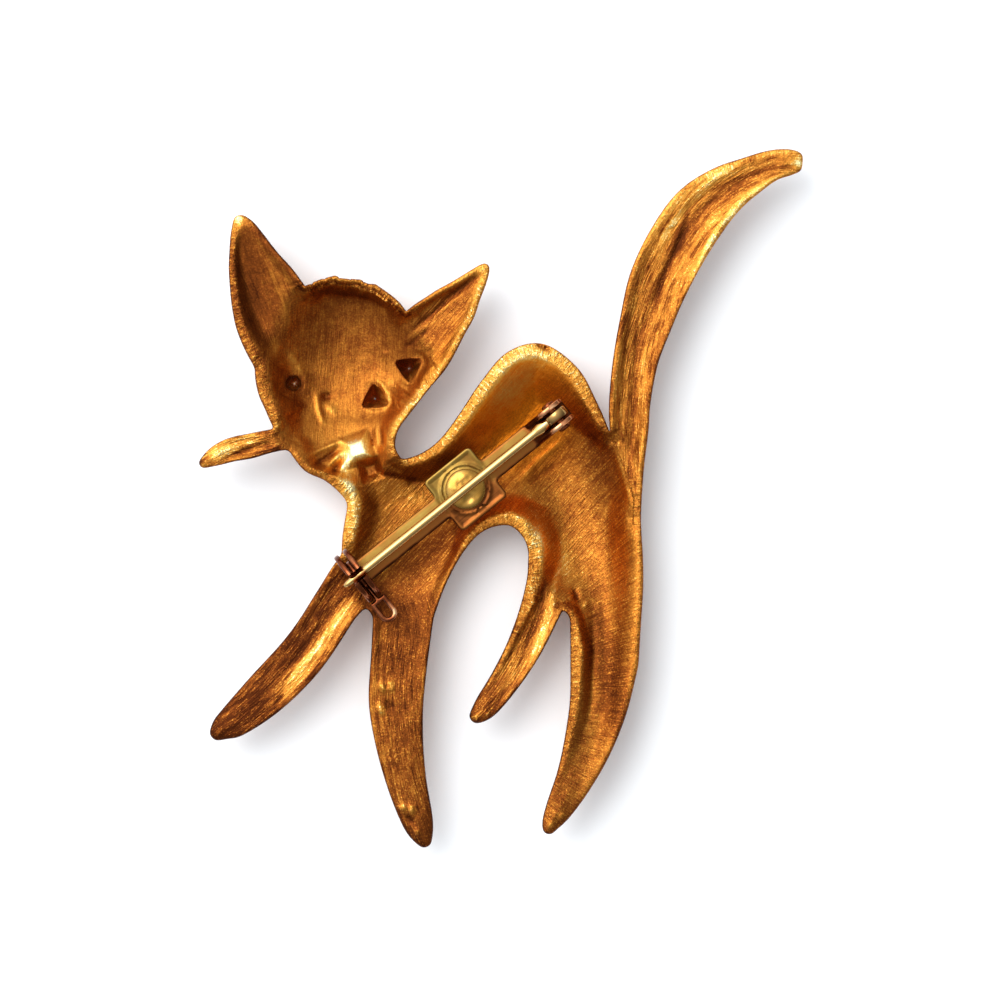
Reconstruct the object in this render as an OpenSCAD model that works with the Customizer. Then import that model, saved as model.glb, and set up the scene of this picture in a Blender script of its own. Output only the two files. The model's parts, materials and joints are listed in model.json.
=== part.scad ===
// Back of a cast cat brooch with an arched back and a raised tail, lying face down.
// +Y runs from the paws to the ears, +X towards the tail, +Z up from the surface it lies on.

/* [Cat] */
// Width of the cat from the whisker's tip to the tail's tip
cat_w = 55.4; // [50:0.1:62]
// Height of the cat from the lowest paw to the tail's tip
cat_h = 64; // [58:0.1:72]
// Height of the body's rim above the surface
body_rim_z = 5.6; // [4.8:0.1:7]
// Height of the head's rim above the surface
head_rim_z = 6.5; // [5.8:0.1:8]
// Thickness of the metal under the deepest hollows
wall = 1.1; // [0.8:0.05:1.5]
// Width of the flat rim round the hollow back
rim_w = 0.8; // [0.5:0.05:1]
// Height of the upright edge below the rim
rim_edge = 0.7; // [0.4:0.05:1]

/* [Limbs] */
// Greatest width of the tail
tail_w = 5.7; // [5:0.1:6.4]
// Greatest width of the cheek whisker
whisker_w = 2.3; // [2:0.1:2.8]
// Greatest width of the left ear
left_ear_w = 6.6; // [6:0.1:7.2]
// Greatest width of the right ear
right_ear_w = 5.3; // [4.8:0.1:5.8]
// Greatest width of the reaching front leg
reaching_leg_w = 4.95; // [4.4:0.05:5.4]
// Greatest width of the standing front leg
front_leg_w = 5.6; // [5.2:0.1:6]
// Greatest width of the inner rear leg
inner_leg_w = 4; // [3.6:0.1:4.4]
// Greatest width of the outer rear leg
rear_leg_w = 6.3; // [5.9:0.1:6.7]

/* [Face] */
// Width of each three-cornered pierced hole
pierced_w = 2.6; // [2:0.1:3]
// Height of each three-cornered pierced hole
pierced_h = 2.2; // [1.6:0.1:2.6]
// Diameter of the round pierced hole
round_hole_d = 1.4; // [1:0.1:1.8]
// Length of one fur lock along the crown
lock_l = 1.5; // [1.2:0.1:1.8]
// Width of one fur lock across the crown
lock_w = 0.9; // [0.7:0.05:1.1]
// Side of the casting gate's stub on the neck
gate_side = 1.8; // [1.4:0.1:2.2]
// Side of the square recess below the stub
recess_side = 1.5; // [1:0.1:1.8]

/* [Pin fitting] */
// Angle of the pin across the body
pin_angle = 38.8; // [30:0.1:45]
// Gap between the body's rim and the fitting's bar
bar_clear = 0.3; // [0.2:0.05:0.6]
// Width of the bar
bar_w = 2.3; // [2.1:0.1:3]
// Thickness of the bar's sheet
bar_t = 0.6; // [0.4:0.05:0.8]
// Length of the middle plate along the bar
plate_l = 5.4; // [5:0.1:6.4]
// Width of the middle plate across the bar
plate_w = 5.8; // [5:0.1:6.4]
// Rounding of the middle plate's corners
plate_r = 0.5; // [0.2:0.05:1]
// Distance from the stud to the hinge
hinge_u = 10.6; // [9.6:0.1:11.4]
// Distance from the stud to the middle of the catch
catch_u = 12.6; // [11.6:0.1:13]
// Height of the stem's axis above the bar
axis_w = 1.7; // [1.65:0.05:2.2]

/* [Stud] */
// Diameter of the stud's peened head
stud_head_d = 3.6; // [3:0.1:4.2]
// Height of the stud's peened head
stud_head_h = 0.62; // [0.4:0.02:0.66]
// Diameter of the stud's neck through the plate
stud_neck_d = 2; // [1.6:0.1:2.4]
// Diameter of the boss that carries the plate
boss_d = 4.2; // [3.6:0.1:4.8]
// Gap between the stud and the plate
stud_gap = 0.05; // [0.03:0.01:0.1]

/* [Hinge and stem] */
// Diameter of the stem's wire
stem_d = 0.8; // [0.6:0.05:0.84]
// Diameter of the thicker stretch at the stem's root
root_d = 1.14; // [1.12:0.02:1.3]
// Length of the thicker stretch from the hinge's axis
root_l = 2.6; // [2.4:0.1:3]
// Length of the stem from the hinge's axis to its point
stem_l = 24.8; // [24.8:0.1:26]
// Length of the ground taper at the point
taper_l = 3.2; // [3:0.1:3.6]
// Diameter of the point's blunt end
tip_d = 0.24; // [0.2:0.02:0.3]
// Diameter of the stem's eye
eye_d = 2.3; // [2:0.1:2.5]
// Thickness of the stem's eye
eye_t = 1; // [0.8:0.05:1.2]
// Space between the two hinge ears
ear_space = 1.4; // [1.34:0.02:2]
// Thickness of a hinge ear
ear_t = 0.45; // [0.4:0.05:0.7]
// Radius of a hinge ear round the rivet
ear_r = 1.3; // [1.1:0.05:1.5]
// Length of an ear's sloping foot ahead of the rivet
ear_foot = 2.8; // [2.2:0.1:3]
// Diameter of the rivet
rivet_d = 0.72; // [0.6:0.02:0.8]
// Diameter of the rivet's heads
rivet_head_d = 1.3; // [1.1:0.05:1.6]
// Height of the rivet's heads
rivet_head_h = 0.3; // [0.2:0.05:0.4]
// Radial running clearance of the rivet
rivet_clear = 0.04; // [0.02:0.01:0.08]

/* [Catch] */
// Outer radius of the catch's housing
housing_r = 2.65; // [2.4:0.05:2.8]
// Thickness of each of the housing's two rails
rail_t = 0.5; // [0.4:0.05:0.6]
// Width of the groove between the rails, where the lever runs
groove_w = 0.5; // [0.4:0.05:0.6]
// Radius of the turning core
core_r = 1.2; // [1.1:0.05:1.3]
// Radius of the core's middle disc, which runs in the groove
disc_r = 1.6; // [1.5:0.05:1.62]
// Width of the slots that the stem drops through
slot_w = 1; // [0.92:0.02:1.1]
// Distance from the core's axis to the end of the lever
lever_l = 5.2; // [4.8:0.1:5.6]
// Width of the lever's loop
loop_w = 1.7; // [1.5:0.05:2]
// Width of the loop's strip
strip_w = 0.45; // [0.35:0.05:0.6]
// Height of the lever's flat strip
lever_h = 0.6; // [0.4:0.05:0.8]
// Running clearance of the core, its disc and its lever
core_clear = 0.06; // [0.03:0.01:0.09]

/* [Hidden] */

GOLD = [0.72, 0.44, 0.14];
BRASS = [0.80, 0.66, 0.38];
PALE_GOLD = [0.88, 0.74, 0.42];
COPPER_BROWN = [0.42, 0.22, 0.12];

// Place of the stud, in shares of the cat's width and height from its lower left corner
STUD_AT = [44.3, 51.6];
bar_z = body_rim_z + bar_clear;
bar_top_z = bar_z + bar_t;
catch_half = rail_t + groove_w / 2;
over = 1;
hair = 0.02;

// Column numbers of a limb's table: middle of the section, share of the limb's greatest width,
// then underside, rim and hollow in shares of the rim's height or of the metal above the wall
C_X = 0;
C_Y = 1;
C_WIDTH = 2;
C_KEEL = 3;
C_RIM = 4;
C_HOLLOW = 5;

// [x, y, width, keel, rim, hollow]
TAIL = [
    [72.2, 46.6, 20, 12, 98, 10],
    [71.5, 54.2, 45, 14, 100, 30],
    [71.4, 59.9, 62, 16, 100, 32],
    [71.5, 64.2, 67, 18, 100, 32],
    [72.5, 70.2, 73, 20, 100, 32],
    [74.2, 75.6, 85, 22, 100, 34],
    [76.3, 81.2, 97, 25, 100, 34],
    [79.5, 86.7, 100, 30, 100, 34],
    [83.1, 91.2, 97, 35, 100, 34],
    [87.1, 94.3, 81, 42, 100, 32],
    [91.3, 96.4, 63, 50, 100, 28],
    [94.9, 98.0, 45, 58, 99, 20],
    [98.1, 98.7, 29, 66, 98, -20],
    [99.95, 98.7, 9, 76, 97, -60]
];

// [x, y, width, keel, rim, hollow]
WHISKER = [
    [0.3, 54.9, 30, 66, 96, -60],
    [2.8, 56.2, 78, 56, 97, -10],
    [5.6, 57.2, 96, 50, 98, 25],
    [8.6, 57.7, 100, 46, 98, 28],
    [11.9, 58.4, 92, 42, 98, 25],
    [15.6, 58.9, 84, 38, 97, 15]
];

// [x, y, width, keel, rim, hollow]
LEFT_EAR = [
    [7.0, 90.8, 12, 62, 97, -60],
    [7.1, 90.1, 22, 58, 98, -30],
    [7.6, 88.8, 37, 52, 99, 10],
    [8.4, 86.5, 55, 44, 100, 45],
    [9.5, 83.5, 77, 36, 100, 60],
    [11.1, 80.1, 100, 28, 100, 65],
    [12.9, 76.2, 114, 20, 100, 65],
    [14.9, 71.6, 106, 14, 100, 60],
    [17.4, 67.2, 80, 10, 100, 50]
];

// [x, y, width, keel, rim, hollow]
RIGHT_EAR = [
    [48.0, 83.8, 10, 66, 97, -60],
    [47.5, 83.2, 20, 62, 98, -30],
    [46.3, 81.8, 37, 56, 99, 15],
    [44.5, 79.9, 57, 46, 100, 28],
    [42.8, 78.1, 79, 38, 100, 34],
    [41.2, 76.6, 91, 32, 100, 36],
    [38.9, 74.4, 109, 24, 100, 38],
    [36.0, 71.3, 122, 16, 100, 40],
    [33.2, 68.4, 112, 12, 100, 42],
    [31.4, 66.2, 70, 10, 100, 40]
];

// [x, y, width, keel, rim, hollow]
REACHING_LEG = [
    [29.6, 42.0, 96, 10, 98, 15],
    [26.2, 38.6, 100, 14, 100, 25],
    [22.9, 35.0, 87, 20, 100, 28],
    [18.0, 28.5, 87, 32, 100, 28],
    [12.0, 22.9, 86, 45, 99, 28],
    [6.5, 18.7, 66, 58, 98, 24],
    [4.1, 17.3, 48, 65, 97, 8],
    [2.3, 15.9, 18, 76, 96, -60]
];

// [x, y, width, keel, rim, hollow], from the paw up to the shoulder
FRONT_LEG = [
    [37.9, 0.25, 15, 78, 96, -60],
    [37.0, 2.3, 41, 68, 97, 0],
    [36.1, 4.7, 54, 62, 98, 6],
    [34.5, 9.7, 66, 50, 99, 6],
    [33.3, 15.5, 79, 36, 100, 6],
    [32.8, 21.2, 90, 22, 100, 8],
    [33.3, 26.9, 93, 10, 100, 12]
];

// [x, y, width, keel, rim, hollow]
INNER_LEG = [
    [60.0, 47.0, 84, 10, 97, 20],
    [58.3, 42.7, 95, 14, 99, 30],
    [58.2, 38.4, 104, 18, 100, 34],
    [56.3, 33.4, 91, 26, 100, 32],
    [53.8, 28.5, 80, 38, 100, 30],
    [50.8, 24.1, 69, 50, 99, 26],
    [47.4, 20.1, 55, 62, 98, 14],
    [45.2, 18.4, 22, 74, 97, -60]
];

// [x, y, width, keel, rim, hollow], from the haunch down to the paw
REAR_LEG = [
    [67.3, 26.9, 100, 12, 100, 46],
    [66.4, 20.9, 86, 26, 100, 42],
    [64.7, 15.3, 72, 38, 100, 36],
    [62.5, 10.3, 56, 50, 99, 22],
    [59.9, 5.9, 41, 62, 98, 8],
    [58.4, 3.6, 27, 70, 97, -20],
    [57.8, 2.1, 12, 78, 96, -60]
];

// Column numbers of a body table, whose sections run from one edge of the outline to the other
E_LEFT = [0, 1];
E_RIGHT = [2, 3];
E_KEEL = 4;
E_RIM = 5;
E_HOLLOW = 6;

// [left x, left y, right x, right y, keel, rim, hollow], from the shoulder over the back to the haunch
TORSO = [
    [29.0, 33.4, 39.0, 33.1, 0, 100, 16],
    [24.6, 38.4, 40.6, 37.0, 0, 100, 24],
    [23.8, 43.4, 42.1, 39.8, 2, 100, 38],
    [24.6, 48.4, 43.4, 41.8, 6, 100, 54],
    [25.4, 51.6, 44.7, 43.4, 10, 100, 68],
    [29.4, 54.0, 46.0, 44.7, 14, 100, 80],
    [33.2, 55.6, 47.4, 45.6, 16, 100, 88],
    [36.8, 56.6, 48.7, 46.1, 18, 100, 92],
    [40.1, 58.7, 49.7, 46.3, 19, 100, 95],
    [43.4, 62.5, 50.5, 46.4, 20, 100, 98],
    [46.7, 66.8, 51.2, 46.4, 20, 100, 100],
    [51.2, 71.2, 51.8, 46.3, 18, 100, 100],
    [57.1, 72.4, 52.4, 46.0, 16, 100, 100],
    [62.9, 68.9, 53.1, 45.4, 14, 100, 100],
    [66.1, 63.9, 53.7, 44.8, 10, 100, 96],
    [67.9, 60.3, 54.3, 43.9, 7, 100, 92],
    [71.2, 52.6, 54.9, 41.6, 3, 100, 88],
    [73.3, 45.6, 55.0, 39.6, 0, 100, 80],
    [73.7, 41.3, 56.4, 37.9, 0, 100, 70],
    [73.7, 37.0, 58.8, 36.0, 0, 100, 60],
    [73.4, 33.0, 61.6, 33.2, 2, 100, 52]
];

// [left x, left y, right x, right y, keel, rim, hollow], from the neck up to the crown
HEAD = [
    [26.2, 47.6, 35.0, 47.0, 10, 84, 30],
    [23.9, 50.6, 34.0, 51.0, 10, 87, 42],
    [21.0, 52.8, 33.0, 54.2, 12, 90, 45],
    [17.6, 54.2, 33.6, 55.9, 11, 93, 50],
    [14.6, 57.7, 32.6, 57.6, 8, 96, 60],
    [12.4, 60.6, 33.4, 60.6, 4, 98, 74],
    [11.2, 62.9, 35.8, 62.9, 0, 99, 84],
    [9.9, 65.6, 37.6, 65.5, 0, 99, 90],
    [9.6, 69.2, 38.6, 68.8, 2, 99, 92],
    [12.0, 73.0, 37.0, 72.6, 7, 99, 90],
    [14.4, 76.9, 35.2, 76.0, 14, 99, 84],
    [16.8, 79.9, 33.0, 78.6, 24, 99, 74],
    [19.4, 81.1, 29.4, 80.9, 38, 99, 50]
];

// [x, y, turn, rise above the rim], one row for each fur lock along the crown
FUR_LOCKS = [
    [18.3, 80.1, 14, 5],
    [20.2, 80.8, 18, 9],
    [22.2, 81.3, 12, 13],
    [24.3, 81.0, -8, 7],
    [26.2, 80.9, -6, 11],
    [28.0, 80.3, -24, 15],
    [29.8, 79.3, -30, 8],
    [31.6, 78.2, -34, 12],
    [33.3, 77.0, -38, 6]
];

// [x, y, turn], one row for each three-cornered pierced hole
PIERCED = [
    [29.1, 65.2, 4],
    [34.9, 68.4, 184]
];
ROUND_HOLE_AT = [15.7, 66.8];
GATE_AT = [26.3, 57.3];
RECESS_AT = [28.4, 54.3];
GATE_TURN = 18;
// Heights of the gate stub's top and foot and of the recess's floor, in shares of the head rim's height
GATE_TOP = 96;
GATE_FOOT = 45;
RECESS_FLOOR = 56;

// Smooth steps between two rows of a table, and sides of a section's curves
row_steps = 2;
limb_steps = 2;
keel_sides = 8;
hollow_sides = 6;
hollow_power = 0.75;
keel_power = 0.8;

// A place in millimetres, from shares of the cat's width and height
function place(x, y) = [(x / 100 - 0.5) * cat_w, (y / 100 - 0.5) * cat_h];

// One row on the smooth curve through a table, between rows i and i + 1
function between(rows, i, t) =
    let (
        a = rows[max(i - 1, 0)],
        b = rows[i],
        c = rows[i + 1],
        d = rows[min(i + 2, len(rows) - 1)]
    )
    (2 * b + (c - a) * t + (2 * a - 5 * b + 4 * c - d) * t * t + (3 * b - a - 3 * c + d) * t * t * t) / 2;

// The table with extra rows on the smooth curve through it
function smooth(rows, steps) = concat(
    [for (i = [0 : len(rows) - 2], k = [0 : steps - 1]) between(rows, i, k / steps)],
    [rows[len(rows) - 1]]
);

// A section is [left edge, right edge, underside, rim, depth of the hollow]
function section(left, right, keel, rim, hollow, top) =
    let (
        rim_z = top * rim / 100,
        keel_z = top * max(keel, 0) / 100
    )
    [left, right, keel_z, rim_z, max(rim_z - keel_z - wall, 0.4) * hollow / 100];

// Sections of a limb, square to its middle line
function limb_sections(rows, width, top) =
    let (fine = smooth(rows, limb_steps))
    [for (i = [0 : len(fine) - 1])
        let (
            row = fine[i],
            before = fine[max(i - 1, 0)],
            after = fine[min(i + 1, len(fine) - 1)],
            run = place(after[C_X], after[C_Y]) - place(before[C_X], before[C_Y]),
            side = [-run.y, run.x] / norm(run) * width / 2 * row[C_WIDTH] / 100,
            middle = place(row[C_X], row[C_Y])
        )
        section(middle + side, middle - side, row[C_KEEL], row[C_RIM], row[C_HOLLOW], top)];

// Sections that run from one edge of an outline to the other
function edge_sections(rows, top) =
    [for (row = smooth(rows, row_steps))
        section(
            place(row[E_LEFT.x], row[E_LEFT.y]), place(row[E_RIGHT.x], row[E_RIGHT.y]),
            row[E_KEEL], row[E_RIM], row[E_HOLLOW], top
        )];

// A point of a section, u from -1 at its left edge to 1 at its right edge
function across(s, u, z) = let (p = s[0] * (1 - u) / 2 + s[1] * (1 + u) / 2) [p.x, p.y, z];

// Outline of a section's metal: flat rim, upright edges and a rounded underside
function metal_ring(s) =
    let (edge_z = s[3] - min(rim_edge, (s[3] - s[2]) * 0.4))
    concat(
        [across(s, -1, s[3])],
        [for (k = [0 : keel_sides])
            let (a = 180 * k / keel_sides)
            across(s, -cos(a), edge_z - (edge_z - s[2]) * pow(max(sin(a), 0), keel_power))],
        [across(s, 1, s[3])]
    );

// Outline of a section's hollow, from above the rim down to its rounded floor
function hollow_ring(s) =
    let (
        half = norm(s[1] - s[0]) / 2,
        reach = max(1 - rim_w / half, 0.05)
    )
    concat(
        [across(s, -reach, s[3] + over)],
        [for (k = [0 : hollow_sides])
            let (a = 180 * k / hollow_sides)
            across(s, -reach * cos(a), s[3] + hair - s[4] * pow(max(sin(a), 0), hollow_power))],
        [across(s, reach, s[3] + over)]
    );

// One closed solid through a row of rings with the same number of points
module loft(rings) {
    sides = len(rings[0]);
    last = (len(rings) - 1) * sides;
    polyhedron(
        points = [for (ring = rings, p = ring) p],
        faces = concat(
            [[for (j = [sides - 1 : -1 : 0]) j]],
            [for (i = [0 : len(rings) - 2], j = [0 : sides - 1])
                let (a = i * sides + j, b = i * sides + (j + 1) % sides)
                [a, b, b + sides]],
            [for (i = [0 : len(rings) - 2], j = [0 : sides - 1])
                let (a = i * sides + j, b = i * sides + (j + 1) % sides)
                [a, b + sides, a + sides]],
            [[for (j = [0 : sides - 1]) last + j]]
        )
    );
}

module metal(sections) loft([for (s = sections) metal_ring(s)]);

module hollow(sections) loft([for (s = sections) hollow_ring(s)]);

// The torso runs on into both standing legs, and the other limbs are set into it or into the head
function limbs() = [
    concat(
        limb_sections(FRONT_LEG, front_leg_w, body_rim_z),
        edge_sections(TORSO, body_rim_z),
        limb_sections(REAR_LEG, rear_leg_w, body_rim_z)
    ),
    edge_sections(HEAD, head_rim_z),
    limb_sections(TAIL, tail_w, body_rim_z),
    limb_sections(WHISKER, whisker_w, head_rim_z),
    limb_sections(LEFT_EAR, left_ear_w, head_rim_z),
    limb_sections(RIGHT_EAR, right_ear_w, head_rim_z),
    limb_sections(REACHING_LEG, reaching_leg_w, body_rim_z),
    limb_sections(INNER_LEG, inner_leg_w, body_rim_z)
];

module fur_lock(x, y, turn, rise) {
    p = place(x, y);
    translate([p.x, p.y, head_rim_z + rim_edge * (rise / 100 - 2)])
        rotate([0, 0, turn])
            linear_extrude(2 * rim_edge)
                union() {
                    square([lock_l - lock_w, lock_w], center = true);
                    for (side = [-1, 1])
                        translate([side * (lock_l - lock_w) / 2, 0])
                            circle(d = lock_w, $fn = 16);
                }
}

module pierced_hole(x, y, turn) {
    p = place(x, y);
    translate([p.x, p.y, -over])
        rotate([0, 0, turn])
            linear_extrude(head_rim_z + 2 * over)
                polygon([[-pierced_w / 2, -pierced_h / 2], [pierced_w / 2, -pierced_h / 2], [0, pierced_h / 2]]);
}

module gate_stub() {
    p = place(GATE_AT.x, GATE_AT.y);
    translate([p.x, p.y, head_rim_z * GATE_FOOT / 100])
        rotate([0, 0, GATE_TURN])
            linear_extrude(head_rim_z * (GATE_TOP - GATE_FOOT) / 100)
                square(gate_side, center = true);
}

module neck_recess() {
    p = place(RECESS_AT.x, RECESS_AT.y);
    translate([p.x, p.y, head_rim_z * RECESS_FLOOR / 100])
        rotate([0, 0, GATE_TURN])
            linear_extrude(head_rim_z)
                square(recess_side, center = true);
}

// The fitting's own frame: the stud's axis, turned along the bar, with z = 0 at the bar's top
module at_stud() {
    p = place(STUD_AT.x, STUD_AT.y);
    translate([p.x, p.y, bar_top_z])
        rotate([0, 0, pin_angle])
            children();
}

// A boss that rises from the hollow, a neck through the plate and a peened head with a dimple
module stud() {
    boss_top = -bar_t - stud_gap;
    head_low = stud_gap;
    at_stud() {
        translate([0, 0, wall / 2 - bar_top_z + body_rim_z * 0.2])
            cylinder(d = boss_d, h = boss_top + bar_top_z - wall / 2 - body_rim_z * 0.2, $fn = 48);
        translate([0, 0, boss_top - over])
            cylinder(d = stud_neck_d, h = over - boss_top + head_low + hair, $fn = 48);
        translate([0, 0, head_low])
            rotate_extrude($fn = 48)
                polygon([
                    [0, 0],
                    [stud_head_d / 2 - 0.15, 0],
                    [stud_head_d / 2, stud_head_h * 0.3],
                    [stud_head_d * 0.4, stud_head_h * 0.85],
                    [stud_head_d * 0.3, stud_head_h],
                    [stud_head_d * 0.16, stud_head_h * 0.75],
                    [0, stud_head_h * 0.55]
                ]);
    }
}

module cat_casting() {
    color(GOLD)
        difference() {
            union() {
                difference() {
                    union() {
                        for (sections = limbs())
                            metal(sections);
                    }
                    for (sections = limbs())
                        hollow(sections);
                }
                for (lock = FUR_LOCKS)
                    fur_lock(lock[0], lock[1], lock[2], lock[3]);
                gate_stub();
                stud();
            }
            neck_recess();
            for (hole = PIERCED)
                pierced_hole(hole[0], hole[1], hole[2]);
            translate([place(ROUND_HOLE_AT.x, ROUND_HOLE_AT.y).x, place(ROUND_HOLE_AT.x, ROUND_HOLE_AT.y).y, -over])
                cylinder(d = round_hole_d, h = head_rim_z + 2 * over, $fn = 32);
        }
}

// Turns a drawing in the plane across the bar, so that its depth runs along the bar from u
module across_bar(u, depth)
    translate([u, 0, 0])
        rotate([90, 0, 90])
            linear_extrude(depth)
                children();

// Turns a drawing in the upright plane along the bar, so that its depth runs across from v
module along_bar(v, depth)
    translate([0, v + depth, 0])
        rotate([90, 0, 0])
            linear_extrude(depth)
                children();

// A rectangle with round corners, from two bars and four discs
module round_cornered(l, w, r) {
    square([l - 2 * r, w], center = true);
    square([l, w - 2 * r], center = true);
    for (x = [-1, 1], y = [-1, 1])
        translate([x * (l / 2 - r), y * (w / 2 - r)])
            circle(r, $fn = 32);
}

module hinge_ear(v)
    along_bar(v, ear_t)
        difference() {
            union() {
                translate([hinge_u, axis_w])
                    circle(ear_r, $fn = 48);
                polygon([
                    [hinge_u - ear_foot, -bar_t],
                    [hinge_u + ear_r, -bar_t],
                    [hinge_u + ear_r, axis_w],
                    [hinge_u - ear_r, axis_w],
                    [hinge_u - ear_foot, bar_t]
                ]);
            }
            translate([hinge_u, axis_w])
                circle(rivet_d / 2 + rivet_clear, $fn = 48);
        }

// Two rails stand on the bar and hold the core, with a groove between them for its disc
module catch_rail(u)
    across_bar(u, rail_t)
        difference() {
            translate([0, axis_w])
                circle(housing_r, $fn = 64);
            translate([0, axis_w])
                circle(core_r + core_clear, $fn = 64);
            translate([-slot_w / 2, axis_w])
                square([slot_w, housing_r + over]);
            translate([-housing_r - over, -bar_t - housing_r])
                square([2 * (housing_r + over), housing_r]);
        }

module pin_bar() {
    bar_end = catch_u + catch_half;
    color(BRASS)
        at_stud() {
            translate([0, 0, -bar_t])
                difference() {
                    linear_extrude(bar_t)
                        union() {
                            translate([-bar_end, -bar_w / 2])
                                square([bar_end + hinge_u + ear_r, bar_w]);
                            round_cornered(plate_l, plate_w, plate_r);
                        }
                    translate([0, 0, -over])
                        cylinder(d = stud_neck_d + 2 * stud_gap, h = bar_t + 2 * over, $fn = 48);
                }
            for (side = [-1, 1])
                hinge_ear(side * (ear_space + ear_t) / 2 - ear_t / 2);
            for (u = [-bar_end, groove_w / 2 - catch_u])
                catch_rail(u);
        }
}

module hinge_rivet() {
    half = ear_space / 2 + ear_t + rivet_clear;
    color(COPPER_BROWN)
        at_stud()
            translate([hinge_u, 0, axis_w])
                rotate([90, 0, 0])
                    rotate_extrude($fn = 48)
                        polygon([
                            [0, -half - rivet_head_h],
                            [rivet_head_d * 0.3, -half - rivet_head_h],
                            [rivet_head_d / 2, -half - rivet_head_h / 2],
                            [rivet_head_d / 2, -half],
                            [rivet_d / 2, -half],
                            [rivet_d / 2, half],
                            [rivet_head_d / 2, half],
                            [rivet_head_d / 2, half + rivet_head_h / 2],
                            [rivet_head_d * 0.3, half + rivet_head_h],
                            [0, half + rivet_head_h]
                        ]);
}

module pin_stem() {
    color(PALE_GOLD)
        at_stud()
            translate([hinge_u, 0, axis_w])
                difference() {
                    union() {
                        translate([0, eye_t / 2, 0])
                            rotate([90, 0, 0])
                                cylinder(d = eye_d, h = eye_t, $fn = 64);
                        rotate([0, -90, 0]) {
                            cylinder(d = root_d, h = root_l, $fn = 48);
                            translate([0, 0, root_l])
                                cylinder(d = stem_d, h = stem_l - taper_l - root_l, $fn = 48);
                            translate([0, 0, stem_l - taper_l])
                                cylinder(d1 = stem_d, d2 = tip_d, h = taper_l, $fn = 48);
                        }
                    }
                    translate([0, eye_t, 0])
                        rotate([90, 0, 0])
                            cylinder(d = rivet_d + 2 * rivet_clear, h = 2 * eye_t, $fn = 64);
                }
}

// The lever is a neck that runs in the groove and a flat loop beyond the housing
module lever_outline() {
    neck_w = groove_w - 2 * core_clear;
    loop_near = housing_r + 2 * core_clear;
    loop_middle = lever_l - loop_w / 2;
    hole_w = loop_w - 2 * strip_w;
    translate([-neck_w / 2, -loop_near - hair])
        square([neck_w, loop_near + hair - core_r]);
    difference() {
        union() {
            translate([-loop_w / 2, -loop_middle])
                square([loop_w, loop_middle - loop_near]);
            translate([0, -loop_middle])
                circle(loop_w / 2, $fn = 48);
        }
        translate([-hole_w / 2, -loop_middle])
            square([hole_w, loop_middle - loop_near - strip_w]);
        translate([0, -loop_middle])
            circle(hole_w / 2, $fn = 48);
    }
}

module catch_rotor() {
    disc_t = groove_w - 2 * core_clear;
    color(COPPER_BROWN)
        at_stud()
            translate([-catch_u, 0, axis_w])
                difference() {
                    union() {
                        across_bar(-catch_half, 2 * catch_half)
                            circle(core_r, $fn = 64);
                        across_bar(-disc_t / 2, disc_t)
                            circle(disc_r, $fn = 64);
                        translate([0, 0, -lever_h / 2])
                            linear_extrude(lever_h)
                                lever_outline();
                    }
                    across_bar(-catch_half - over, 2 * (catch_half + over))
                        union() {
                            circle(slot_w / 2, $fn = 48);
                            translate([-slot_w / 2, 0])
                                square([slot_w, disc_r + over]);
                        }
                }
}

cat_casting();
pin_bar();
hinge_rivet();
pin_stem();
catch_rotor();
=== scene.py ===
import json
import math

import bmesh
import bpy
import numpy as np
from mathutils import Matrix, Vector, noise
from mathutils.bvhtree import BVHTree
from mathutils.geometry import delaunay_2d_cdt
from mathutils.kdtree import KDTree


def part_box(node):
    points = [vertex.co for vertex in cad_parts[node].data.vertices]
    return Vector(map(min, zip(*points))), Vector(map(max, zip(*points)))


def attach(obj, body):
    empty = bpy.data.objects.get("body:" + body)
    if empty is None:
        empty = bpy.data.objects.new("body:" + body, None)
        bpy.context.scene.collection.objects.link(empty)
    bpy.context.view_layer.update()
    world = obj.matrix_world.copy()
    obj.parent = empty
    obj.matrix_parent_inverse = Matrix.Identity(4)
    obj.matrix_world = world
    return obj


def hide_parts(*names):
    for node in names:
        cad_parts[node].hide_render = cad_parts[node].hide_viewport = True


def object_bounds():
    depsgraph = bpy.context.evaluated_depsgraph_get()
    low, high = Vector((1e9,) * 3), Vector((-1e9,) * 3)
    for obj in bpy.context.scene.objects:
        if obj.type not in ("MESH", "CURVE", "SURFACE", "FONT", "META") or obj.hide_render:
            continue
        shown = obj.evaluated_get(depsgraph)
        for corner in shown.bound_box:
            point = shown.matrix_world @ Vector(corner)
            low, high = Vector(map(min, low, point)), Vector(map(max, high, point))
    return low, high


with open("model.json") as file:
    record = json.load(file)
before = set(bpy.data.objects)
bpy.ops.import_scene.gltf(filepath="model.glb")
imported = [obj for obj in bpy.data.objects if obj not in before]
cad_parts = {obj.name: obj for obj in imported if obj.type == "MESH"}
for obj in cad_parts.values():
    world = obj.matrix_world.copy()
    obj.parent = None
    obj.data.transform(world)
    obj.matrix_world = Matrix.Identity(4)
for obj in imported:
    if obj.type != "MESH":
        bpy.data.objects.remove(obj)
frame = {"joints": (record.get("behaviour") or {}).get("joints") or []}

# The brooch lies on its face on a white table and is looked at from straight above.
# One broad lamp stands at its upper left, and the room is palest on that side.
# The table glows a little, as thin paper on a light table does, which keeps the shadows pale.
cad_low, cad_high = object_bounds()
MM = 0.001
view_w = 91.7 * MM
camera_h = 620 * MM
sensor_w = 36.0

camera_data = bpy.data.cameras.new("camera")
camera = bpy.data.objects.new("camera", camera_data)
bpy.context.scene.collection.objects.link(camera)
bpy.context.scene.camera = camera
middle = (cad_low + cad_high) / 2
camera.location = (middle.x, middle.y, camera_h)
camera_data.sensor_width = sensor_w
camera_data.lens = sensor_w * (camera_h - middle.z) / view_w
camera_data.clip_start = 10 * MM
camera_data.clip_end = 10000 * MM


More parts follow.
